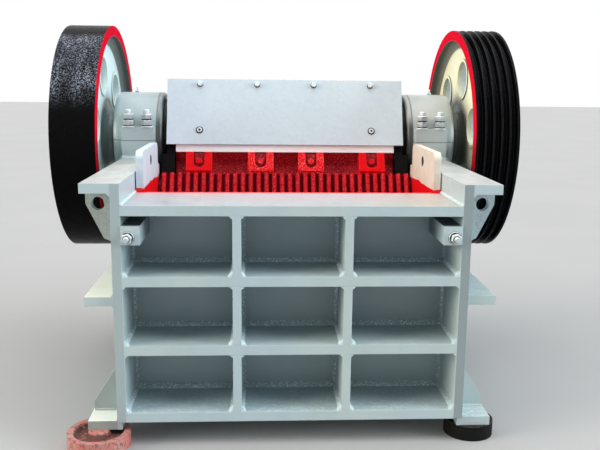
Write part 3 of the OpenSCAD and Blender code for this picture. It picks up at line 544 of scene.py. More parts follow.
def tooth_paint():
    """The swing jaw plate: dark in the valleys between its teeth, partly paint thinning to dark iron and partly
    painted shade, with painted glints on the crests.
    """
    f = Finish("red_paint_teeth", specular=0.04)
    depth = f.math("SUBTRACT", JAW_PIN.dot(JAW_FORWARD) + JAW_FACE, f.along(JAW_FORWARD))
    # Dark valleys: paint thinning to iron and painted shade
    valley = f.ramp(f.math("ADD", depth, f.all_of(f.noise(90.0), 0.010)), 0.010, 0.019)
    crest = f.mix(f.spots(0.46, 0.64, 90.0, 4.0, 0.7), (0.74, 0.006, 0.016), (0.26, 0.005, 0.012))
    # Painted glints on the crests
    crest = f.lay(crest, (1.0, 0.30, 0.34), f.spots(0.54, 0.64, 230.0, 3.0, 0.7), 0.50)
    root = f.mix(f.spots(0.48, 0.60, 170.0, 3.0, 0.7), (0.12, 0.003, 0.010), (0.52, 0.014, 0.032))
    bumps = [(f.noise(140.0, 4.0, 0.65), 0.0016), (f.noise(28.0, 2.0), 0.0014)]
    return f.finish(f.mix(valley, crest, root), f.blend(valley, 0.26, 0.62), bumps, 0.002)


def black_bumps(f, coarse):
    """Bumps of the black paint; coarse is their depth in metres."""
    return [(f.noise(120.0, 3.0, 0.7), coarse), (f.noise(22.0, 2.0), coarse * 0.6)]


def wheel_paint(name, coarse, glints):
    """Rims: black outside with painted glints on the part that faces up and a painted highlight on edges, a red
    ring with painted shade where other surfaces stand close, and painted shade inside.
    """
    f = Finish(name, specular=0.02)
    scuffs = f.spots(0.62, 0.74, 48.0, 4.0, 0.7)
    black = f.lay(RIM_BLACK, (0.03, 0.03, 0.033), scuffs, 0.12)
    # Painted highlight on edges, such as those of the pulley's grooves
    black = f.lay(black, (0.095, 0.095, 0.105), f.edges(0.003), 0.70)
    # Painted glints on the upper part of the rim, as strong as glints says
    up = f.facing_up("Normal")
    upper = f.all_of(f.ramp(up, 0.26, 0.59), f.ramp(up, 0.92, 0.86))
    patches = f.blend(f.spots(0.38, 0.62, 9.0, 3.0, 0.6, (1, 0.5, 0.5)), 0.30, 1.0)
    glitter = f.spots(0.43, 0.70, 210.0, 3.0, 0.7, (0.8, 0.6, 0.6))
    black = f.lay(black, RIM_GLINT, upper, glitter, patches, glints)
    red = f.lay(RED_RING, (0.50, 0.12, 0.11), f.spots(0.64, 0.72, 26.0, 4.0), 0.08)
    # Painted shade on the ring where other surfaces stand close
    red = f.lay(red, (0.05, 0.004, 0.004), f.hemmed_in(0.25, 0.80, 0.50), 0.85)
    ring = f.ramp(f.out_from_middle(), RIM_X + 0.0020, RIM_X + 0.0010)
    inside = f.ramp(f.from_line(AXIS), RIM_INNER_R + 0.0030, RIM_INNER_R + 0.0015)
    # Painted shade inside the rim, dark greenish grey
    inside_shade = f.mix(0.85, pale_layers(f)[0], RIM_INSIDE_SHADE)
    colour = f.mix(inside, f.mix(ring, black, red), inside_shade)
    return f.finish(colour, f.blend(f.either(inside, ring), 0.22, 0.80), black_bumps(f, coarse), 0.0025)


def web_paint():
    """Wheel webs: warm pale paint on a sand casting; on their inner faces a painted tint of cool light on the left
    and warm light on the right, dark on the hub partly as a darker casting and partly as painted shade, and
    painted shade in the corner by the rim and where other surfaces stand close.
    """
    f = Finish("pale_paint_web")
    colour, roughness = pale_layers(f)[:2]
    colour = f.mix(0.25, colour, (0.76, 0.79, 0.74))
    inner = f.ramp(f.out_from_middle(), WEB_FACE + 0.020, WEB_FACE + 0.010)
    # Painted tint of cool light on the left web and warm light on the right one
    colour = f.lay(colour, f.mix(f.on_right(), (0.76, 0.98, 1.0), (1.0, 0.99, 0.70)), inner, 0.90)
    radius = f.from_line(AXIS)
    # Hub darker, partly painted shade; painted shade where other surfaces stand close
    hub = f.all_of(f.ramp(radius, HUB_FOOT_R + 0.034, HUB_FOOT_R + 0.020), 0.85)
    shaded = f.all_of(f.hemmed_in(0.30, 0.70, 0.42), f.blend(f.on_right(), 0.54, 0.97))
    dark = f.mix(f.on_right(), (0.085, 0.096, 0.090), (0.045, 0.050, 0.046))
    colour = f.lay(colour, dark, inner, f.either(hub, shaded))
    # Painted shade in the corner by the rim
    corner = f.ramp(radius, RIM_INNER_R - 0.042, RIM_INNER_R - 0.030)
    colour = f.lay(colour, RIM_INSIDE_SHADE, inner, corner, 0.85)
    return f.finish(colour, roughness, [(f.noise(75.0, 4.0, 0.65), 0.0016), (f.noise(18.0, 2.0), 0.0016)])


def black_paint():
    """Springs, seals, and the black rings and discs of painted shade round nuts and bolt heads: dull black with a
    few scuffs.
    """
    f = Finish("black_paint", specular=0.12)
    scuffs = f.spots(0.60, 0.74, 60.0, 4.0, 0.7)
    colour = f.lay(BLACK, (0.04, 0.04, 0.043), scuffs, 0.20)
    return f.finish(colour, f.blend(scuffs, 0.24, 0.45), black_bumps(f, 0.0012))


def bare_steel():
    """Turned steel with fine tool marks and a film of oil."""
    f = Finish("bare_steel", metallic=0.9)
    stain = f.spots(0.55, 0.75, 34.0, 4.0, 0.7)
    colour = f.lay((0.52, 0.52, 0.51), (0.22, 0.15, 0.10), stain, 0.55)
    tool_marks = f.noise(700.0, 2.0, stretch=(1, 0.08, 0.08))
    return f.finish(colour, f.blend(stain, 0.28, 0.55), [(tool_marks, 0.0002)], 0.001)


def zinc_steel(name, sides):
    """Zinc-plated bolts and nuts that caught some of the pale spray, with painted light on faces that look up and
    a painted highlight on edges; sides sets how light the upright faces are painted.
    """
    f = Finish(name, metallic=0.25)
    plated = tuple(sides * channel for channel in (0.34, 0.37, 0.38))
    sprayed = tuple(sides * channel for channel in (0.40, 0.48, 0.50))
    colour = f.mix(f.spots(0.40, 0.58, 42.0), plated, sprayed)
    # Painted light on faces that look up
    colour = f.mix(f.level(0.15, 0.60), colour, (0.84, 0.90, 0.92))
    grime = f.spots(0.60, 0.74, 110.0, 4.0, 0.7)
    colour = f.lay(colour, (0.20, 0.20, 0.19), grime, 0.3)
    # Painted highlight along edges
    colour = f.lay(colour, (0.95, 0.98, 1.0), f.edges(0.0030), 0.75)
    return f.finish(colour, f.blend(grime, 0.28, 0.6), [(f.noise(300.0, 2.0), 0.0003)], 0.0008)


def casting_layers(f):
    """Colour, roughness and bumps of sand-cast steel in dark primer, with brown rust coming through."""
    rust = f.spots(0.56, 0.74, 13.0, 5.0, 0.65)
    colour = f.mix(rust, (0.060, 0.062, 0.066), (0.115, 0.060, 0.038))
    bumps = [(f.noise(85.0, 5.0, 0.7), 0.0022), (f.noise(9.0, 2.0), 0.0030)]
    return colour, f.blend(rust, 0.50, 0.78), bumps


def plain_casting():
    """Castings without paint of their own."""
    f = Finish("raw_casting")
    return f.finish(*casting_layers(f))


def jaw_casting():
    """The swing jaw: black at its sides, dark red spray on its face between the wedges."""
    f = Finish("raw_casting_jaw", specular=0.05)
    colour, roughness, bumps = casting_layers(f)
    ahead = f.math("SUBTRACT", f.along(JAW_FORWARD), JAW_PIN.dot(JAW_FORWARD))
    colour = f.mix(f.ramp(ahead, 0.06, 0.10), colour, (0.004, 0.0035, 0.0035))
    red = f.mix(f.spots(0.46, 0.62, 210.0, 3.0, 0.75), (0.32, 0.006, 0.016), (1.0, 0.10, 0.13))
    middle = f.ramp(f.out_from_middle(), STRIP_HALF_W + 0.004, STRIP_HALF_W + 0.001)
    colour = f.lay(colour, red, middle, f.ramp(ahead, 0.085, 0.115))
    return f.finish(colour, roughness, bumps)


def in_dish(f, node):
    """1 inside the raised rims of the two discs of a node, 0 outside."""
    lo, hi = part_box(node)
    radius = (hi.x - lo.x) / 2
    dx = f.math("SUBTRACT", f.x, lo.x + radius)
    from_middle = f.math("ABSOLUTE", f.math("SUBTRACT", f.y, (lo.y + hi.y) / 2))
    dy = f.math("SUBTRACT", from_middle, (hi.y - lo.y) / 2 - radius)
    inside = f.ramp(f.length(dx, dy), radius - DISC_WALL - 0.001, radius - DISC_WALL - 0.004)
    return f.all_of(inside, f.ramp(f.z, hi.z - 0.001, hi.z - 0.006))


def old_red_casting():
    """Left discs: faded red paint over rust, scraped pale on the rim, dark in the dish with grime and painted
    shade.
    """
    f = Finish("old_red_casting")
    colour = f.mix(f.spots(0.36, 0.66, 16.0, 5.0, 0.65), (0.56, 0.145, 0.120), (0.51, 0.260, 0.230))
    scraped = f.spots(0.42, 0.62, 45.0, 4.0, 0.7)
    colour = f.lay(colour, (0.55, 0.38, 0.34), f.edges(0.006), scraped)
    chips = f.spots(0.51, 0.60, 75.0, 5.0, 0.85)
    colour = f.lay(colour, (0.070, 0.036, 0.030), chips, 0.85)
    dusty = f.spots(0.40, 0.70, 30.0, 5.0, 0.7)
    colour = f.lay(colour, (0.30, 0.22, 0.19), f.level(0.6, 0.9), dusty, 0.4)
    # Dark in the dish: grime and painted shade
    dirt_and_shade = f.spots(0.25, 0.45, 40.0, 4.0)
    colour = f.lay(colour, (0.045, 0.018, 0.015), in_dish(f, "support_discs_left"), dirt_and_shade, 0.80)
    bumps = [(f.noise(110.0, 5.0, 0.7), 0.0030), (f.noise(30.0), 0.0025)]
    return f.finish(colour, 0.82, bumps, 0.004)


def black_casting():
    """Right discs: black paint, rubbed along the rims, dark in the dish with grime and painted shade."""
    f = Finish("black_casting", specular=0.05)
    dusty = f.spots(0.45, 0.75, 26.0, 5.0, 0.7)
    colour = f.lay((0.010, 0.010, 0.010), (0.16, 0.14, 0.13), f.level(0.6, 0.9), dusty, 0.45)
    rubbed = f.spots(0.40, 0.60, 40.0, 4.0, 0.7)
    colour = f.lay(colour, (0.30, 0.29, 0.30), f.edges(0.005), rubbed, 0.5)
    # Dark in the dish: grime and painted shade
    colour = f.lay(colour, (0.008, 0.008, 0.008), in_dish(f, "support_discs_right"), 0.9)
    return f.finish(colour, 0.60, [(f.noise(100.0, 5.0, 0.7), 0.0026)], 0.004)


def pale_ground():
    """The plain floor."""
    f = Finish("studio_floor", specular=0.15)
    colour = f.mix(f.spots(0.3, 0.7, 0.8), (0.41, 0.41, 0.41), (0.425, 0.425, 0.425))
    return f.finish(colour, 0.75, [(f.noise(60.0), 0.0002)], 0)


PALE_PAINT = pale_paint()
WELD_PAINT = weld_paint()
RED_PAINT = red_paint()
SEAT_PAINT = seat_paint()
BLACK_PAINT = black_paint()
ZINC = zinc_steel("zinc_steel", 1.3)
# A lighter copy with more painted light, for the guard's bolts
LIT_ZINC = zinc_steel("lit_zinc_steel", 1.9)
WEB_PAINT = web_paint()
CHEEK_PAINT = cheek_paint()
HOUSING_PAINT = housing_paint()

NODE_FINISH = {
    "feed_lip": lip_paint(),
    "guard_strip": strip_paint(),
    "jaw_guard": guard_paint(),
    "swing_jaw_plate": tooth_paint(),
    "flywheel_rim": wheel_paint("black_paint_rough", 0.0040, 0.90),
    "pulley_rim": wheel_paint("black_paint_smooth", 0.0010, 0.03),
    "flywheel_web": WEB_PAINT,
    "pulley_web": WEB_PAINT,
    "clamp_blocks": block_paint(),
    "lifting_brackets": bracket_paint(),
    "jaw_body": jaw_casting(),
    "tension_springs": BLACK_PAINT,
}
for hand in ("left", "right"):
    NODE_FINISH["cheek_plate_" + hand] = CHEEK_PAINT
    NODE_FINISH["bearing_seat_" + hand] = HOUSING_PAINT
    NODE_FINISH["bearing_cap_" + hand] = HOUSING_PAINT
SLOT_FINISH = {
    "pale_paint": PALE_PAINT,
    "red_paint": RED_PAINT,
    "black_paint": BLACK_PAINT,
    "bare_steel": bare_steel(),
    "raw_casting": plain_casting(),
    "old_red_casting": old_red_casting(),
    "black_casting": black_casting(),
}
for part in record["subparts"]:
    finish = NODE_FINISH.get(part["node"], SLOT_FINISH[part["material_slot"]])
    for material_slot in nodes[part["node"]].material_slots:
        material_slot.material = finish


def add_object(name, data):
    """A new object in the scene."""
    made = bpy.data.objects.new(name, data)
    bpy.context.scene.collection.objects.link(made)
    return made


def mesh_object(name, points, faces, material):
    """A new object with a mesh of its own."""
    mesh = bpy.data.meshes.new(name)
    mesh.from_pydata(points, [], faces)
    mesh.validate()
    mesh.materials.append(material)
    return add_object(name, mesh)


# Sizes of the weld beads

BEAD_STEP = 0.0045
BEAD_PITCH = 0.0125
BEAD_SIDES = 4
WELD = 0.012
ROOT_WELD = 0.017
SMALL_WELD = 0.007
LUG_WELD = 0.014


class Shape:
    """Points and faces of one joined piece."""

    def __init__(self):
        self.points = []
        self.faces = []

    def add(self, points, faces):
        start = len(self.points)
        self.points += points
        self.faces += [[start + i for i in face] for face in faces]

    def revolve(self, at, profile, sides=24, turn=0.0):
        """profile: (radius, height) pairs up the local Z axis; a radius of 0 closes an end."""
        rings = []
        points = []
        turns = [turn + 2 * math.pi * i / sides for i in range(sides)]
        for radius, height in profile:
            ring = [at @ Vector((radius * math.cos(a), radius * math.sin(a), height)) for a in turns]
            start = len(points)
            points += ring if radius else ring[:1]
            rings.append(range(start, len(points)))
        faces = []
        for low, high in zip(rings, rings[1:]):
            for i in range(sides):
                j = (i + 1) % sides
                if len(low) == 1:
                    faces.append([low[0], high[j], high[i]])
                elif len(high) == 1:
                    faces.append([low[i], low[j], high[0]])
                else:
                    faces.append([low[i], low[j], high[j], high[i]])
        self.add(points, faces)

    def hexagon(self, at, across_corners, height, base=0.0, turn=0.0):
        """A nut or bolt head with chamfered corners."""
        r = across_corners / 2
        edge = 0.10 * height
        top = base + height
        profile = [(0, base), (r * 0.93, base), (r, base + edge), (r, top - edge), (r * 0.90, top), (0, top)]
        self.revolve(at, profile, 6, turn)

    def washer(self, at, radius, height, base=0.0):
        """A flat disc with its upper edge broken."""
        edge = 0.2 * height
        top = base + height
        profile = [(0, base), (radius, base), (radius, top - edge), (radius - edge, top), (0, top)]
        self.revolve(at, profile, 32)

    def thread(self, at, radius, start, length, pitch=0.0035):
        """Thread crests and roots as rings, with a chamfered end."""
        profile = [(0, start)]
        for i in range(int(length / pitch)):
            z = start + i * pitch
            profile += [(radius * 0.91, z), (radius, z + pitch * 0.4), (radius, z + pitch * 0.55)]
        end = start + length
        tip = end + 0.003
        profile += [(radius * 0.92, end), (radius * 0.78, tip), (0, tip)]
        self.revolve(at, profile, 24)

    def bead(self, start, end, side_a, side_b, size, rng):
        """Weld fillet from start to end in the corner of two faces; the sides point away along the faces."""
        start, end = Vector(start), Vector(end)
        side_a, side_b = Vector(side_a), Vector(side_b)
        out = (side_a + side_b).normalized()
        count = max(2, int((end - start).length / BEAD_STEP))
        points = []
        for i in range(count + 1):
            wave = abs(math.sin(math.pi * i * BEAD_STEP / BEAD_PITCH))
            grown = size * (1 + 0.07 * wave + rng.uniform(-0.05, 0.05))
            bulge = size * (0.02 + 0.16 * wave)
            base = start.lerp(end, i / count)
            points.append(base)
            for k in range(BEAD_SIDES + 1):
                t = k / BEAD_SIDES
                flat = base + (side_a * (1 - t) + side_b * t) * grown
                points.append(flat + out * bulge * math.sin(math.pi * t))
        width = BEAD_SIDES + 2
        self.add(points, tube_faces(count, width) + [list(range(width))[::-1],
                                                     [count * width + k for k in range(width)]])

    def piece(self, name, body, material, sharp=35):
        made = mesh_object(name, self.points, self.faces, material)
        made.data.polygons.foreach_set("use_smooth", [True] * len(made.data.polygons))
        made.data.set_sharp_from_angle(angle=math.radians(sharp))
        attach(made, body)


def tube_faces(rows, width):
    """Side faces between successive rings of points, each with the same number of points."""
    faces = []
    for row in range(rows):
        start, above = row * width, (row + 1) * width
        for k in range(width):
            j = (k + 1) % width
            faces.append([start + k, start + j, above + j, above + k])
    return faces


def pointing(at, direction):
    """Matrix at a point, with its local Z along a direction."""
    z = Vector(direction).normalized()
    x = Vector(UP).cross(z).normalized()
    turn = Matrix((x, z.cross(x), z)).transposed().to_4x4()
    return Matrix.Translation(Vector(at)) @ turn


def leaning(x, y, z, tilt):
    """A point given in axes through the jaw's pin that lean back by a tilt, in the frame."""
    c, s = math.cos(tilt), math.sin(tilt)
    return JAW_PIN + Vector((x, y * c + z * s, -y * s + z * c))


def jaw_point(x, y, z):
    """A point of the swing jaw's own axes, which lean with the jaw, in the frame."""
    return leaning(x, y, z, JAW_TILT)


def guard_point(x, y, z):
    """A point on the guard plate: y from its back face, z up from its lower edge."""
    return leaning(x, y - HEAD_R - GUARD_PLAY, z - GUARD_DROP, GUARD_TILT)


# Weld beads

BEAD_START = 0.001
LIP_WELD_START = 0.002
CORNER_RUN = (0.002, 0.020)
CORNER_WELD = WELD * 1.45
BRACKET_WELD_REACH = 0.100
FOOT_WELD_STOP = 0.006
LUG_WELD_RETURN = 0.04
TOP_ROW = 2
BLOCK_CORNERS = {0: RIGHT, 2: LEFT}


def bay_beads(shape, x0, x1, z0, z1, y0, y1, rng, skip_top=None):
    """Beads round one open bay: four along its depth and four round its back. Depth runs from y0 to y1."""
    inward = 1 if y0 < y1 else -1
    reach = y1 - inward * WELD * 0.5
    forward = (0, -inward, 0)
    corners = [(x0, z0, RIGHT, UP), (x1, z0, LEFT, UP), (x0, z1, RIGHT, DOWN), (x1, z1, LEFT, DOWN)]
    for x, z, across, rise in corners:
        if rise == DOWN and skip_top == across:
            continue
        shape.bead((x, y0 + inward * BEAD_START, z), (x, reach, z), across, rise, WELD, rng)
        if rise == UP:
            start, end = [(x, y0 + inward * run, z) for run in CORNER_RUN]
            shape.bead(start, end, across, rise, CORNER_WELD, rng)
    shape.bead((x0, y1, z0), (x1, y1, z0), forward, UP, ROOT_WELD, rng)
    shape.bead((x0, y1, z1), (x1, y1, z1), forward, DOWN, WELD, rng)
    shape.bead((x0, y1, z0), (x0, y1, z1), forward, RIGHT, WELD, rng)
    shape.bead((x1, y1, z0), (x1, y1, z1), forward, LEFT, WELD, rng)


def columns():
    """The three columns of bays between the uprights, as (x0, x1) pairs."""
    near, far = UPRIGHT_X - UPRIGHT_T / 2, UPRIGHT_X + UPRIGHT_T / 2
    return [(-INNER_X, -far), (-near, near), (far, INNER_X)]


def front_welds():
    """Beads of the nine front bays; those behind the clamp blocks are left out."""
    rng = random.Random(11)
    shape = Shape()
    shelves = ["front_shelf_bottom", "front_shelf_middle", "front_shelf_upper", "feed_lip"]
    boxes = [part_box(name) for name in shelves]
    for row, (below, above) in enumerate(zip(boxes, boxes[1:])):
        for column, (x0, x1) in enumerate(columns()):
            skip = BLOCK_CORNERS.get(column) if row == TOP_ROW else None
            bay_beads(shape, x0, x1, below[1].z, above[0].z, FRONT, wall_lo.y, rng, skip)
    for side in SIDES:
        x = side * INNER_X
        start, end = (x, FRONT + LIP_WELD_START, lip_hi.z), (x, lip_hi.y, lip_hi.z)
        shape.bead(start, end, (-side, 0, 0), UP, SMALL_WELD, rng)
    shape.piece("front_welds", "frame", WELD_PAINT, 60)


def rear_welds():
    """Beads of the six rear bays."""
    rng = random.Random(12)
    shape = Shape()
    lo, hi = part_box("rear_shelves")
    pitch = (hi.z - lo.z - SHELF_T) / 2
    for row in range(2):
        z0 = lo.z + SHELF_T + row * pitch
        for x0, x1 in columns():
            bay_beads(shape, x0, x1, z0, z0 + pitch - SHELF_T, hi.y, lo.y, rng)
    shape.piece("rear_welds", "frame", WELD_PAINT, 60)


def foot_beads(shape, node, turn, rng):
    """Beads of a pair of feet and their gussets; turn is 1 for the front pair and -1 for the rear one."""
    lo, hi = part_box(node)
    gusset = (lo.y if turn > 0 else hi.y) + turn * GUSSET_SETBACK
    for side in SIDES:
        x = side * OUTER_X
        out = (side, 0, 0)
        tip = side * (hi.x - FOOT_WELD_STOP)
        for y, away in ((gusset, (0, -turn, 0)), (gusset + turn * GUSSET_T, (0, turn, 0))):
            shape.bead((x, y, FOOT_TOP + GUSSET_CUT), (x, y, hi.z), out, away, SMALL_WELD, rng)
            shape.bead((x + side * GUSSET_CUT, y, FOOT_TOP), (tip, y, FOOT_TOP), away, UP, SMALL_WELD, rng)
        shape.bead((x, lo.y, FOOT_TOP), (x, hi.y, FOOT_TOP), out, UP, SMALL_WELD, rng)


def side_welds():
    """Flanges, ledges, brackets, feet and gussets on the outside of the side plates."""
    rng = random.Random(13)
    shape = Shape()
    ledge_lo, ledge_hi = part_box("side_ledges")
    flange_lo, flange_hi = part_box("top_flange_right")
    bracket_lo, bracket_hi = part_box("lifting_brackets")
    z = flange_lo.z
    for side in SIDES:
        x = side * OUTER_X
        out = (side, 0, 0)
        for y0, y1 in ((flange_lo.y, AXIS.y - HOUSING_R), (AXIS.y + HOUSING_R, flange_hi.y)):
            shape.bead((x, y0, z), (x, y1, z), out, DOWN, WELD, rng)
        for ledge_z, rise in ((ledge_hi.z, UP), (ledge_lo.z, DOWN)):
            shape.bead((x, ledge_lo.y, ledge_z), (x, ledge_hi.y, ledge_z), out, rise, WELD, rng)
        for y, away in ((bracket_lo.y, FORWARD), (bracket_hi.y, BACK)):
            shape.bead((x, y, bracket_lo.z), (x, y, z), out, away, SMALL_WELD, rng)
            reach = side * (OUTER_X + BRACKET_WELD_REACH)
            shape.bead((x, y, z), (reach, y, z), away, DOWN, SMALL_WELD, rng)
    foot_beads(shape, "front_feet", 1, rng)
    foot_beads(shape, "rear_feet", -1, rng)
    shape.piece("side_welds", "frame", PALE_PAINT, 60)


def bearing_welds():
    """Beads where the lug blocks of the bearing seats stand on the side plates and flanges."""
    rng = random.Random(14)
    shape = Shape()
    for side in SIDES:
        x0, x1 = side * LUG_X, side * (LUG_X + LUG_W)
        for end in SIDES:
            y = AXIS.y + end * LUG_HALF_SPAN
            inner = y - end * LUG_WELD_RETURN
            shape.bead((x0, y, TOP), (x1, y, TOP), (0, end, 0), UP, LUG_WELD, rng)
            shape.bead((x1, y, TOP), (x1, inner, TOP), (side, 0, 0), UP, LUG_WELD, rng)
    shape.piece("bearing_welds", "frame", PALE_PAINT, 60)


# Fasteners

WASHER_H = 0.005
# Heights of the black rings of painted shade by the nuts and at the thread's root
SHADE_RING_HEIGHT = 0.005
THREAD_SHADE_HEIGHT = 0.001

STUD_NUT_ACROSS = 0.053
STUD_NUT_H = 0.024
STUD_R = 0.015
STUD_WASHER_R = 0.029
STUD_SHADE_RING_R = 0.0235
STUD_THREAD_SHADE_R = 0.018
STUD_END = 0.016
STUD_INSET = 0.024
STUD_X = (0.033, 0.119)


def bearing_studs():
    """Two studs with double nuts on each lug of the bearing caps, with black rings of painted shade under and
    between the nuts and at the root of the thread.
    """
    nuts = Shape()
    shade_rings = Shape()
    rng = random.Random(3)
    low = WASHER_H + SHADE_RING_HEIGHT
    high = low + STUD_NUT_H + SHADE_RING_HEIGHT
    top = high + STUD_NUT_H
    for side in SIDES:
        for offset in STUD_X:
            for end in SIDES:
                y = AXIS.y + end * (LUG_HALF_SPAN - STUD_INSET)
                at = Matrix.Translation((side * (LUG_X + offset), y, LUG_TOP))
                nuts.washer(at, STUD_WASHER_R, WASHER_H)
                nuts.hexagon(at, STUD_NUT_ACROSS, STUD_NUT_H, low, rng.uniform(0, 1))
                nuts.hexagon(at, STUD_NUT_ACROSS, STUD_NUT_H, high, rng.uniform(0, 1))
                nuts.thread(at, STUD_R, top, STUD_END)
                # Black rings of painted shade under and between the nuts, and at the thread's root
                shade_rings.washer(at, STUD_SHADE_RING_R, SHADE_RING_HEIGHT, WASHER_H)
                shade_rings.washer(at, STUD_SHADE_RING_R, SHADE_RING_HEIGHT, low + STUD_NUT_H)
                shade_rings.washer(at, STUD_THREAD_SHADE_R, THREAD_SHADE_HEIGHT, top)
    shade_rings.piece("bearing_shade_rings", "frame", BLACK_PAINT)
    nuts.piece("bearing_stud_nuts", "frame", ZINC)


NIPPLE_X = LUG_X + 0.108
NIPPLE_SETBACK = 0.010
NIPPLE_BASE_H = 0.010
NIPPLE_ACROSS = 0.020
NIPPLE_SINK = 0.001
NIPPLE_PROFILE = ((0, 0.010), (0.006, 0.010), (0.006, 0.016), (0.004, 0.018), (0.0055, 0.022),
                  (0.004, 0.026), (0, 0.027))


def grease_nipples():
    """A nipple on a hexagon base on top of each bearing cap."""
    shape = Shape()
    z = AXIS.z + HOUSING_R - NIPPLE_SINK
    for side in SIDES:
        at = Matrix.Translation((side * NIPPLE_X, AXIS.y - NIPPLE_SETBACK, z))
        shape.hexagon(at, NIPPLE_ACROSS, NIPPLE_BASE_H)
        shape.revolve(at, NIPPLE_PROFILE, 16)
    shape.piece("grease_nipples", "frame", ZINC)


GUARD_BOLT_X = (-0.412, -0.137, 0.137, 0.412)
GUARD_BOLT_Z = GUARD_H - 0.026
GUARD_BOLT_ACROSS = 0.027
GUARD_BOLT_H = 0.012
# Black rings of painted shade under the hexagon heads
GUARD_SHADE_R = 0.0145
GUARD_SHADE_H = 0.0035
LOW_BOLT_X = (-0.412, 0.414)
LOW_BOLT_Z = 0.070
SOCKET_R = 0.0058
SOCKET_FLOOR = 0.002
SOCKET_SHADE_DEPTH = 0.0062
LOW_BOLT_SHADE_R = 0.0172
LOW_BOLT_SHADE_H = 0.002
LOW_BOLT_PROFILE = ((0.0122, 0.0), (0.0122, 0.005), (0.0110, 0.0065), (SOCKET_R, 0.0065),
                    (SOCKET_R, SOCKET_FLOOR), (0, SOCKET_FLOOR))


def on_guard(x, z):
    """Matrix on the front face of the guard plate, with its local Z out of the plate."""
    out = guard_point(0, -1, 0) - guard_point(0, 0, 0)
    return pointing(guard_point(x, -GUARD_T, z), out)


def guard_bolts():
    """Hexagon bolts along the top of the guard, and two socket bolts near its lower edge."""
    shape = Shape()
    rng = random.Random(5)
    for x in GUARD_BOLT_X:
        turn = rng.uniform(0, 1)
        shape.hexagon(on_guard(x, GUARD_BOLT_Z), GUARD_BOLT_ACROSS, GUARD_BOLT_H, GUARD_SHADE_H, turn)
    for x in LOW_BOLT_X:
        shape.revolve(on_guard(x, LOW_BOLT_Z), LOW_BOLT_PROFILE, 24)
    shape.piece("guard_bolts", "swing_jaw", LIT_ZINC)


def guard_bolt_shade_rings():
    """Black rings of painted shade under the heads of the guard's bolts, and dark discs of painted shade in the
    sockets.
    """
    shape = Shape()
    for x in GUARD_BOLT_X:
        # Painted shade round the hexagon heads and socket heads, and in the sockets
        shape.washer(on_guard(x, GUARD_BOLT_Z), GUARD_SHADE_R, GUARD_SHADE_H)
    for x in LOW_BOLT_X:
        at = on_guard(x, LOW_BOLT_Z)
        shape.washer(at, LOW_BOLT_SHADE_R, LOW_BOLT_SHADE_H)
        shape.washer(at, SOCKET_R - 0.0001, SOCKET_SHADE_DEPTH)
    shape.piece("guard_bolt_shade_rings", "swing_jaw", BLACK_PAINT)


WEDGE_BOLT_ACROSS = 0.029
WEDGE_BOLT_H = 0.012
WEDGE_WASHER_R = 0.0205
WEDGE_WASHER_H = 0.004
SEAT_PLAY = 0.001
SEAT_CHAMFER = 0.003


def slot_outline(reach):
    """Outline of a block in the slot of a wedge, as local (x, y) pairs with y up: a half round below."""
    turns = [math.pi * (1 + i / 16) for i in range(17)]
    round_end = [(reach * math.cos(a), reach * math.sin(a)) for a in turns]
    top = WEDGE_SLOT_DROP - SEAT_PLAY
    return round_end + [(reach, top), (-reach, top)]


def wedge_seat(shape, x):
    """The shaped seat in the slot of one wedge, from its foot up to its chamfered face."""
    slot = pointing(jaw_point(x, WEDGE_SLOT_BACK, WEDGE_TOP - WEDGE_SLOT_DROP), jaw_out)
    width = WEDGE_SLOT_R - SEAT_PLAY
    levels = [(0.0, width), (WEDGE_SEAT_H - SEAT_CHAMFER, width), (WEDGE_SEAT_H, width - SEAT_CHAMFER)]
    rings = [[slot @ Vector((u, v, height)) for u, v in slot_outline(reach)] for height, reach in levels]
    count = len(rings[0])
    caps = [list(range(count))[::-1], list(range(2 * count, 3 * count))]
    shape.add(sum(rings, []), tube_faces(2, count) + caps)


jaw_out = jaw_point(0, -1, 0) - jaw_point(0, 0, 0)


def wedge_bolts():
    """A seat in the slot of each wedge, with a bolt head and washer on it."""
    heads = Shape()
    seats = Shape()
    rng = random.Random(7)
    for x in WEDGE_X:
        wedge_seat(seats, x)
        at = pointing(jaw_point(x, WEDGE_SLOT_BACK - WEDGE_SEAT_H, WEDGE_TOP - WEDGE_BOLT_DROP), jaw_out)
        seats.washer(at, WEDGE_WASHER_R, WEDGE_WASHER_H)
        heads.hexagon(at, WEDGE_BOLT_ACROSS, WEDGE_BOLT_H, WEDGE_WASHER_H, rng.uniform(0, 1))
    seats.piece("wedge_seats", "swing_jaw", SEAT_PAINT)
    heads.piece("wedge_bolts", "swing_jaw", RED_PAINT)


CLAMP_INSET = {-1: 0.026, 1: 0.029}
CLAMP_DROP = BLOCK_SIZE * 0.61
CLAMP_NUT_ACROSS = 0.041
CLAMP_NUT_H = 0.018
CLAMP_NUT_TURN = 0.3
CLAMP_STUD_R = 0.0105
CLAMP_STUD_END = 0.012
CLAMP_WASHER_R = 0.0245
CLAMP_SHADE_RING_R = 0.0215
CLAMP_THREAD_SHADE_R = 0.013
CLAMP_OUTER_SHADE_R = 0.026
CLAMP_OUTER_SHADE_H = 0.0006


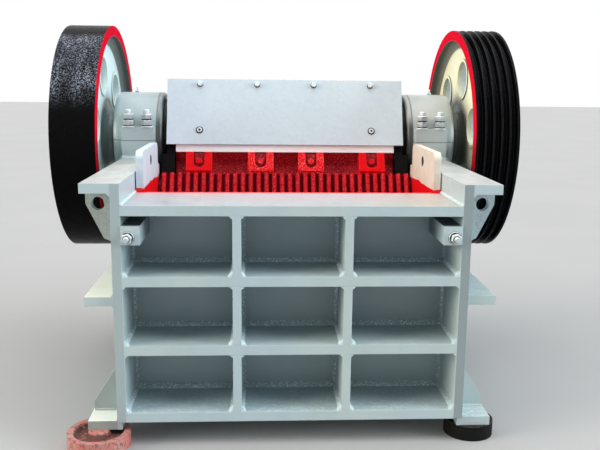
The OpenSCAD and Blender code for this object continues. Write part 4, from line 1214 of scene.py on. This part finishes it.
def clamp_bolts():
    """Washer, nut and stud end on the front of each clamp block, with black rings of painted shade round them."""
    nuts = Shape()
    shade_rings = Shape()
    block_lo, block_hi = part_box("clamp_blocks")
    base = WASHER_H + SHADE_RING_HEIGHT
    top = base + CLAMP_NUT_H
    for side in SIDES:
        at = pointing((side * (INNER_X - CLAMP_INSET[side]), block_lo.y, block_hi.z - CLAMP_DROP), FORWARD)
        nuts.washer(at, CLAMP_WASHER_R, WASHER_H)
        nuts.hexagon(at, CLAMP_NUT_ACROSS, CLAMP_NUT_H, base, CLAMP_NUT_TURN)
        nuts.thread(at, CLAMP_STUD_R, top, CLAMP_STUD_END, 0.003)
        # Black rings of painted shade under the nut, at the thread's root and round the washer
        shade_rings.washer(at, CLAMP_SHADE_RING_R, SHADE_RING_HEIGHT, WASHER_H)
        shade_rings.washer(at, CLAMP_THREAD_SHADE_R, THREAD_SHADE_HEIGHT, top)
        shade_rings.washer(at, CLAMP_OUTER_SHADE_R, CLAMP_OUTER_SHADE_H)
    shade_rings.piece("clamp_shade_rings", "frame", BLACK_PAINT)
    nuts.piece("clamp_block_bolts", "frame", ZINC)


front_welds()
rear_welds()
side_welds()
bearing_welds()
bearing_studs()
grease_nipples()
guard_bolts()
guard_bolt_shade_rings()
wedge_bolts()
clamp_bolts()

# Camera, floor and light

CAMERA_AT = Vector((-0.12746, FRONT - 2.78965, 1.39986))
CAMERA_LENS = 46.12
CAMERA_PITCH = math.radians(10.747)
CAMERA_YAW = math.radians(3.105)
CAMERA_ROLL = math.radians(0.637)
FLOOR_REACH = 40
ROOF_STRENGTH = 2.7
ROOF_SPREAD = 70
SIDE_STRENGTH = 2.6
SIDE_SPREAD = 35
SOFT_STRENGTH = 0.22


def add_camera():
    """The photograph's camera."""
    data = bpy.data.cameras.new("camera")
    data.lens = CAMERA_LENS
    data.sensor_width = 36.0
    camera = add_object("camera", data)
    level = math.cos(CAMERA_PITCH)
    ahead = Vector((math.sin(CAMERA_YAW) * level, math.cos(CAMERA_YAW) * level, -math.sin(CAMERA_PITCH)))
    right = Vector((math.cos(CAMERA_YAW), -math.sin(CAMERA_YAW), 0))
    up = right.cross(ahead)
    roll_right = right * math.cos(CAMERA_ROLL) + up * math.sin(CAMERA_ROLL)
    roll_up = -right * math.sin(CAMERA_ROLL) + up * math.cos(CAMERA_ROLL)
    turn = Matrix((roll_right, roll_up, -ahead)).transposed().to_4x4()
    camera.matrix_world = Matrix.Translation(CAMERA_AT) @ turn
    bpy.context.scene.camera = camera


def add_floor():
    """A wide plain floor at the foot of the discs."""
    corners = [(-1, -1), (1, -1), (1, 1), (-1, 1)]
    points = [Vector((x * FLOOR_REACH, y * FLOOR_REACH, 0)) for x, y in corners]
    floor = mesh_object("floor", points, [[0, 1, 2, 3]], pale_ground())


def background(tree, colour, strength):
    """Light of one colour from all round."""
    made = tree.nodes.new("ShaderNodeBackground")
    made.inputs["Color"].default_value = (*colour, 1)
    made.inputs["Strength"].default_value = strength
    return made.outputs[0]


def add_world():
    """Soft even light, seen by the camera and in gloss as plain white."""
    world = bpy.data.worlds.new("studio")
    bpy.context.scene.world = world
    world.use_nodes = True
    tree = world.node_tree
    tree.nodes.clear()
    path = tree.nodes.new("ShaderNodeLightPath")
    seen = path.outputs["Is Camera Ray"]
    for ray in ("Is Glossy Ray", "Is Transmission Ray"):
        either = tree.nodes.new("ShaderNodeMath")
        either.operation = "MAXIMUM"
        tree.links.new(seen, either.inputs[0])
        tree.links.new(path.outputs[ray], either.inputs[1])
        seen = either.outputs[0]
    mix = tree.nodes.new("ShaderNodeMixShader")
    output = tree.nodes.new("ShaderNodeOutputWorld")
    tree.links.new(seen, mix.inputs[0])
    tree.links.new(background(tree, (0.90, 0.95, 1.0), SOFT_STRENGTH), mix.inputs[1])
    tree.links.new(background(tree, (1, 1, 1), 1.0), mix.inputs[2])
    tree.links.new(mix.outputs[0], output.inputs[0])


def add_light(name, direction, strength, spread, colour=(1, 1, 1)):
    """A broad even light that shines along a direction; spread is the width of its source in degrees."""
    data = bpy.data.lights.new(name, "SUN")
    data.energy = strength
    data.angle = math.radians(spread)
    data.color = colour
    light = add_object(name, data)
    light.rotation_mode = "QUATERNION"
    light.rotation_quaternion = Vector(direction).to_track_quat("-Z", "Y")


add_camera()
add_floor()
add_world()
add_light("roof_light", DOWN, ROOF_STRENGTH, ROOF_SPREAD)
add_light("left_light", (6.0, 1.6, -2.0), SIDE_STRENGTH, SIDE_SPREAD, (1.0, 0.93, 0.80))
add_light("right_light", (-6.0, 1.6, -2.0), SIDE_STRENGTH, SIDE_SPREAD, (0.86, 0.95, 1.0))
bpy.context.scene.view_settings.view_transform = "Standard"
